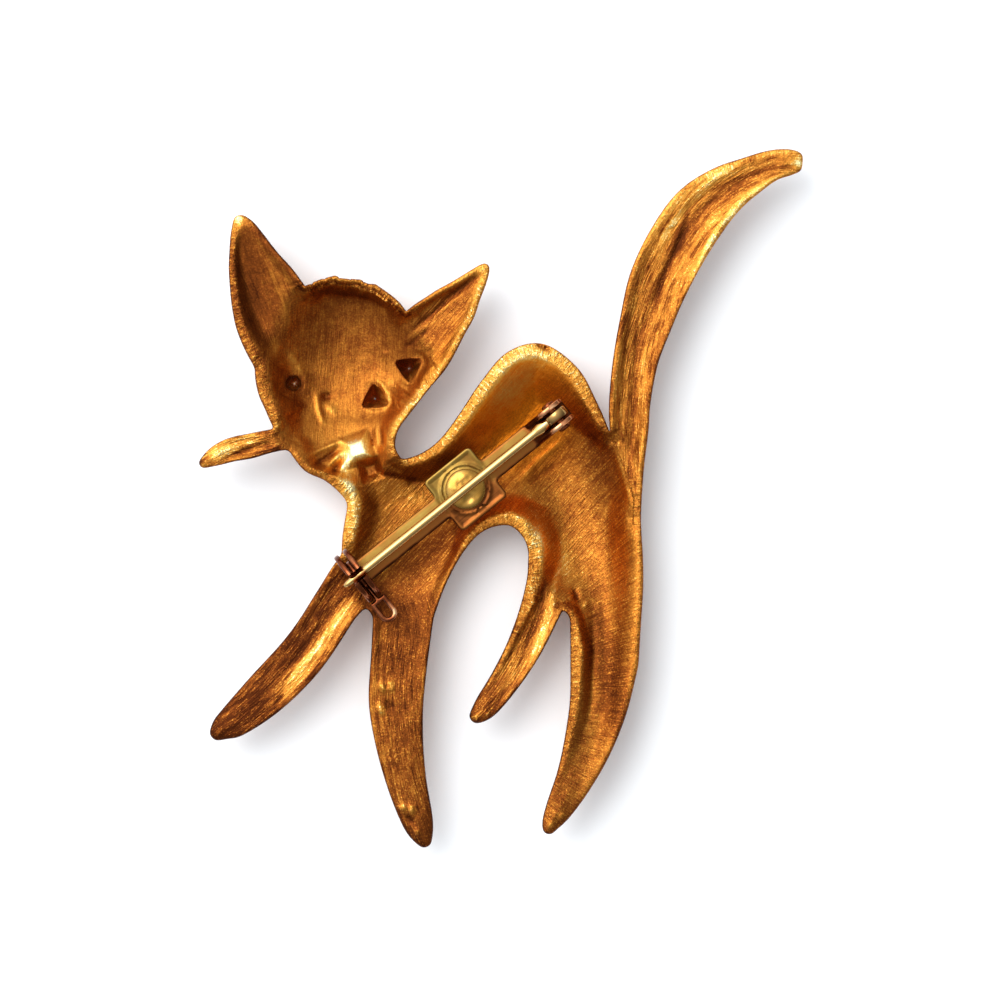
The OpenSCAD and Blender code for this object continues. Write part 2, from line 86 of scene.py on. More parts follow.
def node_of(tree, kind, inputs=None, **settings):
    node = tree.nodes.new(kind)
    for name, value in settings.items():
        setattr(node, name, value)
    for name, value in (inputs or {}).items():
        if isinstance(value, bpy.types.NodeSocket):
            tree.links.new(value, node.inputs[name])
        else:
            node.inputs[name].default_value = value
    return node


def colour_ramp(tree, value, stops):
    node = node_of(tree, "ShaderNodeValToRGB", {"Fac": value})
    ramp = node.color_ramp
    while len(ramp.elements) < len(stops):
        ramp.elements.new(0.5)
    for element, (position, colour) in zip(ramp.elements, stops):
        element.position = position
        element.color = (*colour, 1)
    return node.outputs["Color"]


world = bpy.data.worlds.new("room")
bpy.context.scene.world = world
world.use_nodes = True
room = world.node_tree
room_place = node_of(room, "ShaderNodeTexCoord")
room_side = node_of(room, "ShaderNodeVectorMath", {
    0: room_place.outputs["Generated"], 1: (-0.5, 0.45, 0.74)}, operation="DOT_PRODUCT")
room_greys = [(0.0, 0.3), (0.35, 0.56), (0.72, 1.1), (0.97, 2.55)]
room_stops = [(position, (grey * 0.95, grey, grey * 1.05)) for position, grey in room_greys]
room_light = room.nodes["Background"]
room.links.new(colour_ramp(room, room_side.outputs["Value"], room_stops), room_light.inputs["Color"])
room_light.inputs["Strength"].default_value = 1.0

lamp_data = bpy.data.lights.new("key_lamp", "AREA")
lamp_data.shape = "DISK"
lamp_data.size = 0.5
lamp_data.energy = 2.1
lamp_data.color = (1.0, 1.0, 0.99)
key_lamp = bpy.data.objects.new("key_lamp", lamp_data)
bpy.context.scene.collection.objects.link(key_lamp)
key_lamp.location = (-0.26, 0.24, 0.62)
key_lamp.rotation_euler = (middle - key_lamp.location).to_track_quat("-Z", "Y").to_euler()

floor_mesh = bpy.data.meshes.new("floor")
floor_half = 3
floor_corners = [(x * floor_half, y * floor_half, 0) for x, y in ((-1, -1), (1, -1), (1, 1), (-1, 1))]
floor_mesh.from_pydata(floor_corners, [], [(0, 1, 2, 3)])
floor = bpy.data.objects.new("floor", floor_mesh)
bpy.context.scene.collection.objects.link(floor)
floor_paper = bpy.data.materials.new("white_table")
floor_paper.use_nodes = True
paper_look = floor_paper.node_tree.nodes["Principled BSDF"].inputs
paper_look["Base Color"].default_value = (0.93, 0.93, 0.93, 1)
paper_look["Roughness"].default_value = 0.9
paper_look["Specular IOR Level"].default_value = 0.1
paper_look["Emission Color"].default_value = (1, 1, 1, 1)
paper_look["Emission Strength"].default_value = 0.07
floor_mesh.materials.append(floor_paper)
bpy.context.scene.view_settings.view_transform = "Standard"


# The cat is one hollow-backed casting in gold-plated white metal, made in a rubber mould.
# Its limbs are dished strips with a narrow flat rim, set into a deeply dished body and head.
# Every strip is drawn as a row of sections, so that the back, the rim and the front share one form.
cast_low, cast_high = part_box("cat_casting")
cat_low = np.array([cast_low.x, cast_low.y]) / MM
cat_size = np.array([cast_high.x - cast_low.x, cast_high.y - cast_low.y]) / MM
body_rim_z = 5.6
head_rim_z = 6.5
wall = 1.1
rim_edge = 0.7
fine_steps = 8

# x, y, width, keel, rim and hollow: x and y in hundredths of the cat's box, width of the strip's
# greatest width, keel and rim of the rim's height, hollow of the metal above the thinnest wall
STRIPS = {
    "tail": (5.7, body_rim_z, [
        (72.2, 46.6, 20, 12, 98, 10),
        (71.5, 54.2, 45, 14, 100, 30),
        (71.4, 59.9, 62, 16, 100, 32),
        (71.5, 64.2, 67, 18, 100, 32),
        (72.5, 70.2, 73, 20, 100, 32),
        (74.2, 75.6, 85, 22, 100, 34),
        (76.3, 81.2, 97, 25, 100, 34),
        (79.5, 86.7, 100, 30, 100, 34),
        (83.1, 91.2, 97, 35, 100, 34),
        (87.1, 94.3, 81, 42, 100, 32),
        (91.3, 96.4, 63, 50, 100, 28),
        (94.9, 97.9, 50, 58, 99, 20),
        (98.1, 98.4, 42, 66, 98, -20),
        (100.1, 98.3, 28, 76, 97, -60),
    ]),
    "whisker": (2.3, head_rim_z, [
        (0.3, 54.9, 30, 66, 96, -60),
        (2.8, 56.2, 78, 56, 97, -10),
        (5.6, 57.2, 96, 50, 98, 25),
        (8.6, 57.7, 100, 46, 98, 28),
        (11.9, 58.4, 92, 42, 98, 25),
        (15.6, 58.9, 84, 38, 97, 15),
    ]),
    "left_ear": (6.6, head_rim_z, [
        (7.0, 90.8, 12, 62, 97, -60),
        (7.1, 90.1, 22, 58, 98, -30),
        (7.6, 88.8, 37, 52, 99, 10),
        (8.4, 86.5, 55, 44, 100, 45),
        (9.5, 83.5, 77, 36, 100, 60),
        (11.1, 80.1, 100, 28, 100, 65),
        (12.9, 76.2, 114, 20, 100, 65),
        (14.9, 71.6, 106, 14, 100, 60),
        (17.4, 67.2, 80, 10, 100, 50),
    ]),
    "right_ear": (5.3, head_rim_z, [
        (48.0, 83.8, 10, 66, 97, -60),
        (47.5, 83.2, 20, 62, 98, -30),
        (46.3, 81.8, 37, 56, 99, 15),
        (44.5, 79.9, 57, 46, 100, 28),
        (42.8, 78.1, 79, 38, 100, 34),
        (41.2, 76.6, 91, 32, 100, 36),
        (38.9, 74.4, 109, 24, 100, 38),
        (36.0, 71.3, 122, 16, 100, 40),
        (33.2, 68.4, 112, 12, 100, 42),
        (31.4, 66.2, 70, 10, 100, 40),
    ]),
    "reaching_leg": (4.95, body_rim_z, [
        (29.6, 42.0, 96, 10, 98, 15),
        (26.2, 38.6, 100, 14, 100, 25),
        (22.9, 35.0, 87, 20, 100, 28),
        (18.0, 28.5, 87, 32, 100, 28),
        (12.0, 22.9, 86, 45, 99, 28),
        (6.5, 18.7, 66, 58, 98, 24),
        (4.1, 17.3, 48, 65, 97, 8),
        (2.3, 15.9, 18, 76, 96, -60),
    ]),
    "inner_leg": (4.0, body_rim_z, [
        (60.0, 47.0, 84, 10, 97, 20),
        (58.3, 42.7, 95, 14, 99, 30),
        (58.2, 38.4, 104, 18, 100, 34),
        (56.3, 33.4, 91, 26, 100, 32),
        (53.8, 28.5, 80, 38, 100, 30),
        (50.8, 24.1, 69, 50, 99, 26),
        (47.4, 20.1, 55, 62, 98, 14),
        (45.2, 18.4, 22, 74, 97, -60),
    ]),
}
FRONT_LEG = (5.6, body_rim_z, [
    (37.9, 0.25, 15, 78, 96, -60),
    (37.0, 2.3, 41, 68, 97, 0),
    (36.1, 4.7, 54, 62, 98, 6),
    (34.5, 9.7, 66, 50, 99, 6),
    (33.3, 15.5, 79, 36, 100, 6),
    (32.8, 21.2, 90, 22, 100, 8),
    (33.3, 26.9, 93, 10, 100, 12),
])
REAR_LEG = (6.3, body_rim_z, [
    (67.3, 26.9, 100, 12, 100, 46),
    (66.4, 20.9, 86, 26, 100, 42),
    (64.7, 15.3, 72, 38, 100, 36),
    (62.5, 10.3, 56, 50, 99, 22),
    (59.9, 5.9, 41, 62, 98, 8),
    (58.4, 3.6, 27, 70, 97, -20),
    (57.8, 2.1, 12, 78, 96, -60),
])
# x and y of the left edge, x and y of the right edge, keel, rim and hollow
TORSO = [
    (29.0, 33.4, 39.0, 33.1, 0, 100, 16),
    (24.6, 38.4, 40.6, 37.0, 0, 100, 24),
    (23.8, 43.4, 42.1, 39.8, 2, 100, 38),
    (24.6, 48.4, 43.4, 41.8, 6, 100, 54),
    (25.4, 51.6, 44.7, 43.4, 10, 100, 68),
    (29.4, 54.0, 46.0, 44.7, 14, 100, 80),
    (33.2, 55.6, 47.4, 45.6, 16, 100, 88),
    (36.8, 56.6, 48.7, 46.1, 18, 100, 92),
    (40.1, 58.7, 49.7, 46.3, 19, 100, 95),
    (43.4, 62.5, 50.5, 46.4, 20, 100, 98),
    (46.7, 66.8, 51.2, 46.4, 20, 100, 100),
    (51.2, 71.2, 51.8, 46.3, 18, 100, 100),
    (57.1, 72.4, 52.4, 46.0, 16, 100, 100),
    (62.9, 68.9, 53.1, 45.4, 14, 100, 100),
    (66.1, 63.9, 53.7, 44.8, 10, 100, 96),
    (67.9, 60.3, 54.3, 43.9, 7, 100, 92),
    (71.2, 52.6, 54.9, 41.6, 3, 100, 88),
    (73.3, 45.6, 55.0, 39.6, 0, 100, 80),
    (73.7, 41.3, 56.4, 37.9, 0, 100, 70),
    (73.7, 37.0, 58.8, 36.0, 0, 100, 60),
    (73.4, 33.0, 61.6, 33.2, 2, 100, 52),
]
HEAD = [
    (26.2, 47.6, 35.0, 47.0, 10, 84, 30),
    (23.9, 50.6, 34.0, 51.0, 10, 87, 42),
    (21.0, 52.8, 33.0, 54.2, 12, 90, 45),
    (17.6, 54.2, 33.6, 55.9, 11, 93, 50),
    (14.6, 57.7, 32.6, 57.6, 8, 96, 60),
    (12.4, 60.6, 33.4, 60.6, 4, 98, 74),
    (11.2, 62.9, 35.8, 62.9, 0, 99, 84),
    (9.9, 65.6, 37.6, 65.5, 0, 99, 90),
    (9.6, 69.2, 38.6, 68.8, 2, 99, 92),
    (12.0, 73.0, 37.0, 72.6, 7, 99, 90),
    (14.4, 76.9, 35.2, 76.0, 14, 99, 84),
    (16.8, 79.9, 33.0, 78.6, 24, 99, 74),
    (19.4, 81.1, 29.4, 80.9, 38, 99, 50),
]
# x, y and turn of each fur lock along the crown
FUR_LOCKS = [
    (18.3, 80.1, 14),
    (20.2, 80.8, 18),
    (22.2, 81.3, 12),
    (24.3, 81.0, -8),
    (26.2, 80.9, -6),
    (28.0, 80.3, -24),
    (29.8, 79.3, -30),
    (31.6, 78.2, -34),
    (33.3, 77.0, -38),
]
lock_l = 1.5
lock_w = 0.9


def place(x, y):
    return cat_low + np.array([x, y]) / 100 * cat_size


def smooth_rows(rows, steps):
    rows = np.array(rows, float)
    fine = []
    for i in range(len(rows) - 1):
        a = rows[max(i - 1, 0)]
        b = rows[i]
        c = rows[i + 1]
        d = rows[min(i + 2, len(rows) - 1)]
        for t in np.arange(steps) / steps:
            bend = (2 * a - 5 * b + 4 * c - d) * t * t + (3 * b - a - 3 * c + d) * t ** 3
            fine.append(b + ((c - a) * t + bend) / 2)
    fine.append(rows[-1])
    return np.array(fine)


def sections_of(left, right, keel, rim, hollow, top):
    rim_z = top * rim / 100
    keel_z = top * np.maximum(keel, 0) / 100
    depth = np.maximum(rim_z - keel_z - wall, 0.4) * hollow / 100
    return np.column_stack([left, right, keel_z, rim_z, depth])


def strip_sections(width, top, rows):
    fine = smooth_rows(rows, fine_steps)
    line = cat_low + fine[:, :2] / 100 * cat_size
    run = np.gradient(line, axis=0)
    run /= np.linalg.norm(run, axis=1)[:, None]
    side = np.column_stack([-run[:, 1], run[:, 0]]) * (width / 2 * fine[:, 2] / 100)[:, None]
    return sections_of(line + side, line - side, fine[:, 3], fine[:, 4], fine[:, 5], top)


def edge_sections(rows, top):
    fine = smooth_rows(rows, fine_steps)
    left = cat_low + fine[:, 0:2] / 100 * cat_size
    right = cat_low + fine[:, 2:4] / 100 * cat_size
    return sections_of(left, right, fine[:, 4], fine[:, 5], fine[:, 6], top)


lofts = {name: strip_sections(*strip) for name, strip in STRIPS.items()}
front_leg = strip_sections(*FRONT_LEG)
torso = edge_sections(TORSO, body_rim_z)
rear_leg = strip_sections(*REAR_LEG)
lofts["body"] = np.vstack([front_leg, torso, rear_leg])
lofts["head"] = edge_sections(HEAD, head_rim_z)


def spun(points, degrees):
    c, s = math.cos(math.radians(degrees)), math.sin(math.radians(degrees))
    x, y = np.array(points).T
    return np.column_stack([c * x - s * y, s * x + c * y])


def lock_outline(x, y, turn):
    reach = (lock_l - lock_w) / 2
    around = math.tau * np.arange(16) / 16
    along = np.copysign(reach, np.cos(around)) + lock_w / 2 * np.cos(around)
    return place(x, y) + spun(np.column_stack([along, lock_w / 2 * np.sin(around)]), turn)


weld_gap = 1e-5
net_gap = 1e-6
corner_turn = math.radians(32)
outline_step = 0.12


# The cat's outline is the outer edge of all the strips laid together
def outer_loop(shapes):
    points = []
    faces = []
    for shape in shapes:
        faces.append(list(range(len(points), len(points) + len(shape))))
        points += [Vector(p) for p in shape]
    verts, _, tris, _, _, _ = delaunay_2d_cdt(points, [], faces, 1, weld_gap)
    uses = {}
    for tri in tris:
        for a, b in zip(tri, tri[1:] + tri[:1]):
            key = (min(a, b), max(a, b))
            if key in uses:
                uses[key] = None
            else:
                uses[key] = (a, b)
    following = {pair[0]: pair[1] for pair in uses.values() if pair}
    best = []
    while following:
        first, at = following.popitem()
        loop = [first]
        while at != first and at in following:
            loop.append(at)
            at = following.pop(at)
        if len(loop) > len(best):
            best = loop
    return np.array([verts[i][:] for i in best])


def crossed(a, b):
    return a[:, 0] * b[:, 1] - a[:, 1] * b[:, 0]


# Points at even steps between a loop's corners, which stay where they are
def even_loop(loop, step):
    ahead = np.roll(loop, -1, axis=0) - loop
    behind = loop - np.roll(loop, 1, axis=0)
    turn = np.abs(np.arctan2(crossed(behind, ahead), (behind * ahead).sum(1)))
    corners = np.where(turn > corner_turn)[0]
    if len(corners) == 0:
        corners = np.array([0])
    out = []
    for k, start in enumerate(corners):
        stop = corners[(k + 1) % len(corners)]
        if stop <= start:
            stop += len(loop)
        run = loop[np.arange(start, stop + 1) % len(loop)]
        along = np.concatenate([[0], np.cumsum(np.linalg.norm(np.diff(run, axis=0), axis=1))])
        count = max(1, round(along[-1] / step))
        at = np.arange(count) * along[-1] / count
        out.append(np.column_stack([np.interp(at, along, run[:, 0]), np.interp(at, along, run[:, 1])]))
    return np.vstack(out)


def tree_of(points):
    tree = KDTree(len(points))
    for i, p in enumerate(points):
        tree.insert((p[0], p[1], 0), i)
    tree.balance()
    return tree


def to_edge(points, tree):
    found = [tree.find((p[0], p[1], 0)) for p in points]
    return np.array([f[2] for f in found]), np.array([f[1] for f in found])


# The tips and forks are filed round, the fur locks keep their points, and five dips are filed longer
EVENED = [(73.3, 45.9), (37.8, 63.5), (13.9, 29.8), (24.3, 27.7), (15.2, 21.2)]
lock_kept = 0.8
dip_reach = 2.2
shapes = [np.vstack([loft[:, 0:2], loft[::-1, 2:4]]) for loft in lofts.values()]
shapes += [lock_outline(*lock) for lock in FUR_LOCKS]
outline = even_loop(outer_loop(shapes), outline_step)
from_lock, _ = to_edge(outline, tree_of([place(x, y) for x, y, _ in FUR_LOCKS]))
from_dip, _ = to_edge(outline, tree_of([place(x, y) for x, y in EVENED]))
filing = 0.5 * np.clip(from_lock - lock_kept, 0, 1)
long_filing = 0.5 * np.exp(-(from_dip / dip_reach) ** 2)
for share in [filing] * 14 + [long_filing] * 300:
    between = (np.roll(outline, 1, axis=0) + np.roll(outline, -1, axis=0)) / 2
    outline = outline + share[:, None] * (between - outline)

# Three holes pierce the face: two three-cornered ones and a small round one
HOLES = [(29.1, 65.2, 4), (34.9, 68.4, 184)]
pierced_w = 2.6
pierced_h = 2.2
side_bulge = 0.05
round_hole_d = 1.4
round_hole_at = place(15.7, 66.8)


def hole_outline(x, y, turn):
    corners = np.array([
        (-pierced_w / 2, -pierced_h / 2), (pierced_w / 2, -pierced_h / 2), (0, pierced_h / 2)])
    points = []
    for a, b in zip(corners, np.roll(corners, -1, axis=0)):
        run = b - a
        out = np.array([run[1], -run[0]]) * side_bulge
        for t in np.linspace(0.08, 0.92, 9):
            points.append(a + run * t + out * math.sin(math.pi * t))
    return place(x, y) + spun(points, turn)


holes = [hole_outline(*hole) for hole in HOLES]
around = math.tau * np.arange(24) / 24
holes.append(round_hole_at + round_hole_d / 2 * np.column_stack([np.cos(around), np.sin(around)]))

# Close points along the outline, each with its run from the outline's start
edge_step = 4
edge_points = []
edge_along = []
edge_length = 0.0
for a, b in zip(outline, np.roll(outline, -1, axis=0)):
    for k in range(edge_step):
        edge_points.append(a + (b - a) * k / edge_step)
        edge_along.append(edge_length + np.linalg.norm(b - a) * k / edge_step)
    edge_length += np.linalg.norm(b - a)
edge_along = np.array(edge_along)
edge_tree = tree_of(edge_points)


# One flat net of triangles inside an outline and round its holes, with rings that follow every edge
def flat_net(bounds, rings, pitch, keep=None):
    edges = tree_of(np.vstack([even_loop(bound, 0.03) for bound in bounds]))
    near = []
    for k, bound in enumerate(bounds):
        ahead = np.roll(bound, -1, axis=0) - np.roll(bound, 1, axis=0)
        inward = np.column_stack([-ahead[:, 1], ahead[:, 0]]) / np.linalg.norm(ahead, axis=1)[:, None]
        area = crossed(bound, np.roll(bound, -1, axis=0)).sum()
        inward *= math.copysign(1, area) * (1 if k == 0 else -1)
        for offset in rings:
            ring = bound + inward * offset
            far, _ = to_edge(ring, edges)
            near.append(ring[far > offset * 0.93])
    low = bounds[0].min(0)
    high = bounds[0].max(0)
    x, y = np.meshgrid(np.arange(low[0], high[0], pitch), np.arange(low[1], high[1], pitch * 0.866))
    x = x + (np.arange(len(x)) % 2)[:, None] * pitch / 2
    grid = np.column_stack([x.ravel(), y.ravel()])
    if keep:
        grid = grid[keep(grid)]
    far, _ = to_edge(grid, edges)
    near.append(grid[far > rings[-1] + pitch * 0.6])
    inner = np.vstack(near)
    _, first = np.unique(np.round(inner / (rings[0] * 0.8)).astype(int), axis=0, return_index=True)
    points = np.vstack(list(bounds) + [inner[np.sort(first)]])
    faces = []
    start = 0
    for bound in bounds:
        area = crossed(bound, np.roll(bound, -1, axis=0)).sum()
        order = list(range(start, start + len(bound)))
        faces.append(order if area > 0 else order[::-1])
        start += len(bound)
    verts, _, tris, _, _, origins = delaunay_2d_cdt([Vector(p) for p in points], [], faces, 1, net_gap)
    tris = [tri for tri, origin in zip(tris, origins) if 0 in origin and len(origin) == 1]
    return np.array([v[:] for v in verts]), np.array(tris)


# Two nets over the same outline, one above the other, with upright walls between their edges
def closed_skin(bounds, top, top_tris, bottom, bottom_tris):
    count = len(top)
    faces = [tuple(int(i) for i in tri) for tri in top_tris]
    faces += [(int(count + a), int(count + c), int(count + b)) for a, b, c in bottom_tris]
    start = 0
    for bound in bounds:
        area = crossed(bound, np.roll(bound, -1, axis=0)).sum()
        flipped = (area > 0) != (start == 0)
        for k in range(len(bound)):
            a = start + k
            b = start + (k + 1) % len(bound)
            quad = (a, count + a, count + b, b)
            faces.append(quad[::-1] if flipped else quad)
        start += len(bound)
    return np.vstack([top, bottom]), faces


# Heights are filed smooth between neighbouring points of a net
def filed(tris, heights, share, rounds):
    ends = np.vstack([tris[:, [0, 1]], tris[:, [1, 2]], tris[:, [2, 0]]])
    here = ends.ravel()
    there = ends[:, ::-1].ravel()
    degree = np.maximum(np.bincount(here, minlength=len(heights)), 1)
    for _ in range(rounds):
        between = np.bincount(here, heights[there], len(heights)) / degree
        heights = heights + share * (between - heights)
    return heights


# A strip laid flat, with the row and the share across it at each point
def strip_mesh(loft, columns=16):
    share = np.linspace(0, 1, columns + 1)
    points = loft[:, None, 0:2] * (1 - share)[None, :, None] + loft[:, None, 2:4] * share[None, :, None]
    flat = points.reshape(-1, 2)
    tris = []
    wide = columns + 1
    for i in range(len(loft) - 1):
        for j in range(columns):
            a = i * wide + j
            tris.append((a, a + 1, a + wide + 1))
            tris.append((a, a + wide + 1, a + wide))
    rows = np.repeat(np.arange(len(loft)), wide).astype(float)
    across = np.tile(share * 2 - 1, len(loft))
    tree = BVHTree.FromPolygons([(p[0], p[1], 0) for p in flat], tris)
    return tree, flat, np.array(tris), rows, across


strip_meshes = {name: strip_mesh(loft) for name, loft in lofts.items()}


# Which points lie in a strip, and each one's row along the strip and share across it
def in_strip(name, points):
    tree, flat, tris, rows, across = strip_meshes[name]
    low = flat.min(0) - 0.1
    high = flat.max(0) + 0.1
    inside = np.where(((points > low) & (points < high)).all(1))[0]
    hits = []
    for i in inside:
        _, _, tri, _ = tree.find_nearest((points[i, 0], points[i, 1], 0), 0.05)
        hits.append(-1 if tri is None else tri)
    hits = np.array(hits, int)
    inside = inside[hits >= 0]
    hits = hits[hits >= 0]
    a, b, c = (flat[tris[hits, k]] for k in range(3))
    p = points[inside]
    full = crossed(b - a, c - a)
    full = np.where(np.abs(full) < 1e-9, 1e-9, full)
    to_b = np.clip(crossed(p - a, c - a) / full, 0, 1)
    to_c = np.clip(crossed(b - a, p - a) / full, 0, 1 - to_b)
    weights = np.column_stack([1 - to_b - to_c, to_b, to_c])
    row = (weights * rows[tris[hits]]).sum(1)
    u = (weights * across[tris[hits]]).sum(1)
    return inside, row, np.clip(u, -1, 1)


def covered(points):
    found = np.zeros(len(points), bool)
    for name in lofts:
        found[in_strip(name, points)[0]] = True
    return found


def column(loft, row, k):
    return np.interp(row, np.arange(len(loft)), loft[:, k])


def soft_min(a, b, blend):
    h = np.clip(0.5 + (b - a) / (2 * blend), 0, 1)
    return b + (a - b) * h - blend * h * (1 - h)


# The holes taper towards the front
hole_taper = 0.08
front_holes = [hole.mean(0) + (hole - hole.mean(0)) * hole_taper for hole in holes]
cat_bounds = [outline] + holes
front_bounds = [outline] + front_holes
top_rings = [0.06, 0.14, 0.24, 0.36, 0.5, 0.65, 0.8, 0.95, 1.1]
front_rings = [0.08, 0.18, 0.32, 0.5, 0.75]
top_points, top_tris = flat_net(cat_bounds, top_rings, 0.16, covered)
front_points, front_tris = flat_net(front_bounds, front_rings, 0.45, covered)

# Row, place of the deepest line across the strip, sharpness of its walls, share of the depth
FORMS = {
    "tail": [
        (0, 0.3, 2.0, 0.5),
        (3, 0.15, 1.8, 0.6),
        (5, 0.0, 1.6, 0.5),
        (8, -0.35, 1.5, 0.45),
        (13, -0.3, 1.5, 0.4),
    ],
    "whisker": [(0, 0.1, 1.6, 0.5), (5, 0.2, 1.6, 0.5)],
    "left_ear": [(0, 0.4, 1.5, 0.35), (8, 0.3, 1.6, 0.55)],
    "right_ear": [(0, 0.35, 1.6, 0.6), (9, 0.45, 1.6, 0.8)],
    "reaching_leg": [(0, -0.1, 1.8, 0.6), (7, -0.2, 1.8, 0.4)],
    "inner_leg": [(0, -0.35, 1.5, 0.8), (7, -0.3, 1.6, 0.6)],
    "head": [(0, 0.0, 1.8, 0.7), (5, 0.1, 1.7, 0.8), (12, 0.0, 1.9, 1.0)],
    "body": [
        (0, 0.0, 2.0, 0.5),
        (6, 0.0, 2.0, 0.8),
        (9, 0.0, 2.0, 1.0),
        (14, 0.05, 1.9, 0.9),
        (22, 0.0, 1.8, 0.9),
        (27, -0.1, 1.8, 0.85),
        (30, -0.3, 1.7, 0.8),
        (34, -0.2, 1.8, 0.4),
    ],
}
# The body's rows are counted through the front leg, the torso and the rear leg
body_rows = np.concatenate([
    np.linspace(0, len(FRONT_LEG[2]) - 1, len(front_leg)),
    len(FRONT_LEG[2]) + np.linspace(0, len(TORSO) - 1, len(torso)),
    len(FRONT_LEG[2]) + len(TORSO) + np.linspace(0, len(REAR_LEG[2]) - 1, len(rear_leg)),
])


def form_at(name, row):
    table = np.array(FORMS[name])
    if name == "body":
        row = np.interp(row, np.arange(len(body_rows)), body_rows)
    else:
        row = row / fine_steps
    return [np.interp(row, table[:, 0], table[:, k]) for k in range(1, table.shape[1])]


# Places that are read off the photograph: x to the right and y down, in its own pixels
photo_px = view_w / MM / 1000
photo_middle = (500, 499)


def from_photo(points):
    points = np.array(points, float).reshape(-1, 2)
    x = middle.x / MM + (points[:, 0] - photo_middle[0]) * photo_px
    y = middle.y / MM + (photo_middle[1] - points[:, 1]) * photo_px
    return np.column_stack([x, y])


count = len(top_points)
to_rim, nearest = to_edge(top_points, edge_tree)
rim_run = edge_along[nearest]
to_hole, _ = to_edge(top_points, tree_of(np.vstack(holes)))
